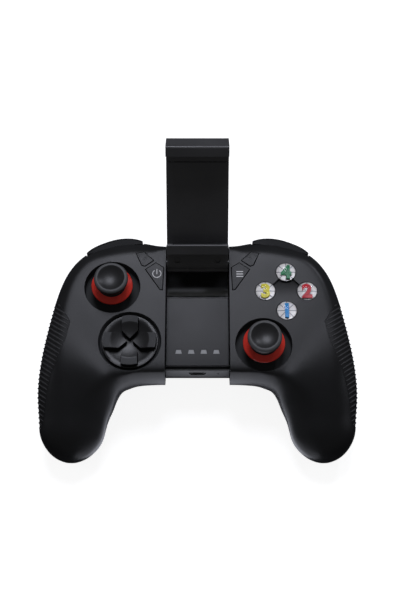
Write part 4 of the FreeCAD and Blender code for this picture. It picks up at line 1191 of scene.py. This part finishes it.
def buildRibs():
    tree, given, end = newNodes("gripRibNodes", {
        "Surface": ("Object", None), "Count": ("Int", 20), "Pitch": ("Float", 0.0026),
        "Start": ("Vector", (0, 0, 0)), "Turn": ("Vector", (0, 0, 0)), "Reach": ("Float", 0.045),
        "Samples": ("Int", 80), "Width": ("Float", 0.0008), "Taper": ("Float", 7.0),
        "Material": ("Material", None)})
    arc = wire(tree, "GeometryNodeCurveArc", {
        "Resolution": given["Samples"], "Radius": given["Reach"],
        "Start Angle": math.radians(gripRibs["sweepStart"]),
        "Sweep Angle": math.radians(gripRibs["sweep"])}, mode="RADIUS")
    tilted = wire(tree, "GeometryNodeTransform", {"Geometry": arc.outputs[0], "Rotation": given["Turn"]})
    place = tree.nodes.new("GeometryNodeInputPosition").outputs[0]
    outward = tree.nodes.new("GeometryNodeCaptureAttribute")
    outward.capture_items.new("VECTOR", "Outward")
    tree.links.new(tilted.outputs[0], outward.inputs[0])
    tree.links.new(place, outward.inputs[1])
    step = wire(tree, "ShaderNodeCombineXYZ", {"Y": given["Pitch"]}).outputs[0]
    line = wire(tree, "GeometryNodeMeshLine", {
        "Count": given["Count"], "Start Location": given["Start"], "Offset": step})
    each = wire(tree, "GeometryNodeInstanceOnPoints", {
        "Points": line.outputs[0], "Instance": outward.outputs[0]})
    plain = wire(tree, "GeometryNodeRealizeInstances", {"Geometry": each.outputs[0]})
    surface = wire(
        tree, "GeometryNodeObjectInfo", {"Object": given["Surface"]}, transform_space="RELATIVE")
    inward = wire(tree, "ShaderNodeVectorMath", {0: outward.outputs[1], "Scale": -1.0}, operation="SCALE")
    ray = wire(tree, "GeometryNodeRaycast", {
        "Target Geometry": surface.outputs["Geometry"], "Source Position": place,
        "Ray Direction": inward.outputs[0], "Ray Length": given["Reach"]})
    hit = tree.nodes.new("GeometryNodeCaptureAttribute")
    hit.capture_items.new("BOOLEAN", "Is Hit")
    hit.capture_items.new("VECTOR", "Hit Position")
    tree.links.new(plain.outputs[0], hit.inputs[0])
    tree.links.new(ray.outputs["Is Hit"], hit.inputs[1])
    tree.links.new(ray.outputs["Hit Position"], hit.inputs[2])
    laid = wire(tree, "GeometryNodeSetPosition", {"Geometry": hit.outputs[0], "Position": hit.outputs[2]})
    missed = wire(tree, "FunctionNodeBooleanMath", {0: hit.outputs[1]}, operation="NOT")
    kept = wire(
        tree, "GeometryNodeDeleteGeometry", {"Geometry": laid.outputs[0], "Selection": missed.outputs[0]},
        domain="POINT")
    along = tree.nodes.new("GeometryNodeSplineParameter").outputs["Factor"]
    fromEnd = calculate(tree, "MINIMUM", along, calculate(tree, "SUBTRACT", 1.0, along))
    thin = wire(tree, "ShaderNodeMapRange", {
        "Value": calculate(tree, "MULTIPLY", fromEnd, given["Taper"]),
        "To Min": gripRibs["thinnest"], "To Max": 1.0})
    tapered = wire(tree, "GeometryNodeSetCurveRadius", {
        "Curve": kept.outputs[0], "Radius": thin.outputs["Result"]})
    half = calculate(tree, "MULTIPLY", given["Width"], 0.5)
    profile = wire(tree, "GeometryNodeCurvePrimitiveCircle", {
        "Resolution": gripRibs["profileSteps"], "Radius": half})
    tube = wire(tree, "GeometryNodeCurveToMesh", {
        "Curve": tapered.outputs[0], "Profile Curve": profile.outputs[0], "Fill Caps": True})
    if "Scale" in tube.inputs:
        tree.links.new(thin.outputs["Result"], tube.inputs["Scale"])
    smooth = wire(tree, "GeometryNodeSetShadeSmooth", {"Geometry": tube.outputs[0]})
    real = wire(tree, "GeometryNodeRealizeInstances", {"Geometry": smooth.outputs[0]})
    dressed = wire(tree, "GeometryNodeSetMaterial", {
        "Geometry": real.outputs[0], "Material": given["Material"]})
    tree.links.new(dressed.outputs[0], end.inputs[0])
    return tree


def addRibs():
    g = gripRibs
    tree = buildRibs()
    slant = math.radians(g["slant"])
    lean = math.radians(g["lean"])
    for side, sign in (("left", -1), ("right", 1)):
        back = math.sin(slant)
        out = Vector((sign * math.cos(slant), back * math.cos(lean), back * math.sin(lean)))
        up = Vector((0, -math.sin(lean), math.cos(lean)))
        up = (up - out * up.dot(out)).normalized()
        turn = Matrix((out, up, out.cross(up))).transposed().to_euler()
        normal = out.cross(up)
        px, pz = g["pivot"]
        ax, az = g["axis"]
        first = g["first"] + (sign * (px - ax) * normal.x + (pz - az) * normal.z) / normal.y
        seed = bpy.data.meshes.new(side + "RibSeed")
        mesh = grow(side + "GripRibs", seed, tree, {
            "Surface": bpy.data.objects[side + "Grip"], "Count": g["count"], "Pitch": g["pitch"] * mm,
            "Start": (sign * ax * mm, first * mm, az * mm), "Turn": tuple(turn),
            "Reach": g["reach"] * mm, "Samples": g["samples"], "Width": g["width"] * mm, "Taper": g["taper"],
            "Material": materials["ribRubberPaintedLight"]})
        place(side + "GripRibs", mesh, bodyOf(side + "_grip"), "grip_rubber", [side + "_grip_ribs"])
        print(side, "ribs:", len(mesh.polygons), "faces")


addScrews()
addRibs()
print("screws and ribs grown")
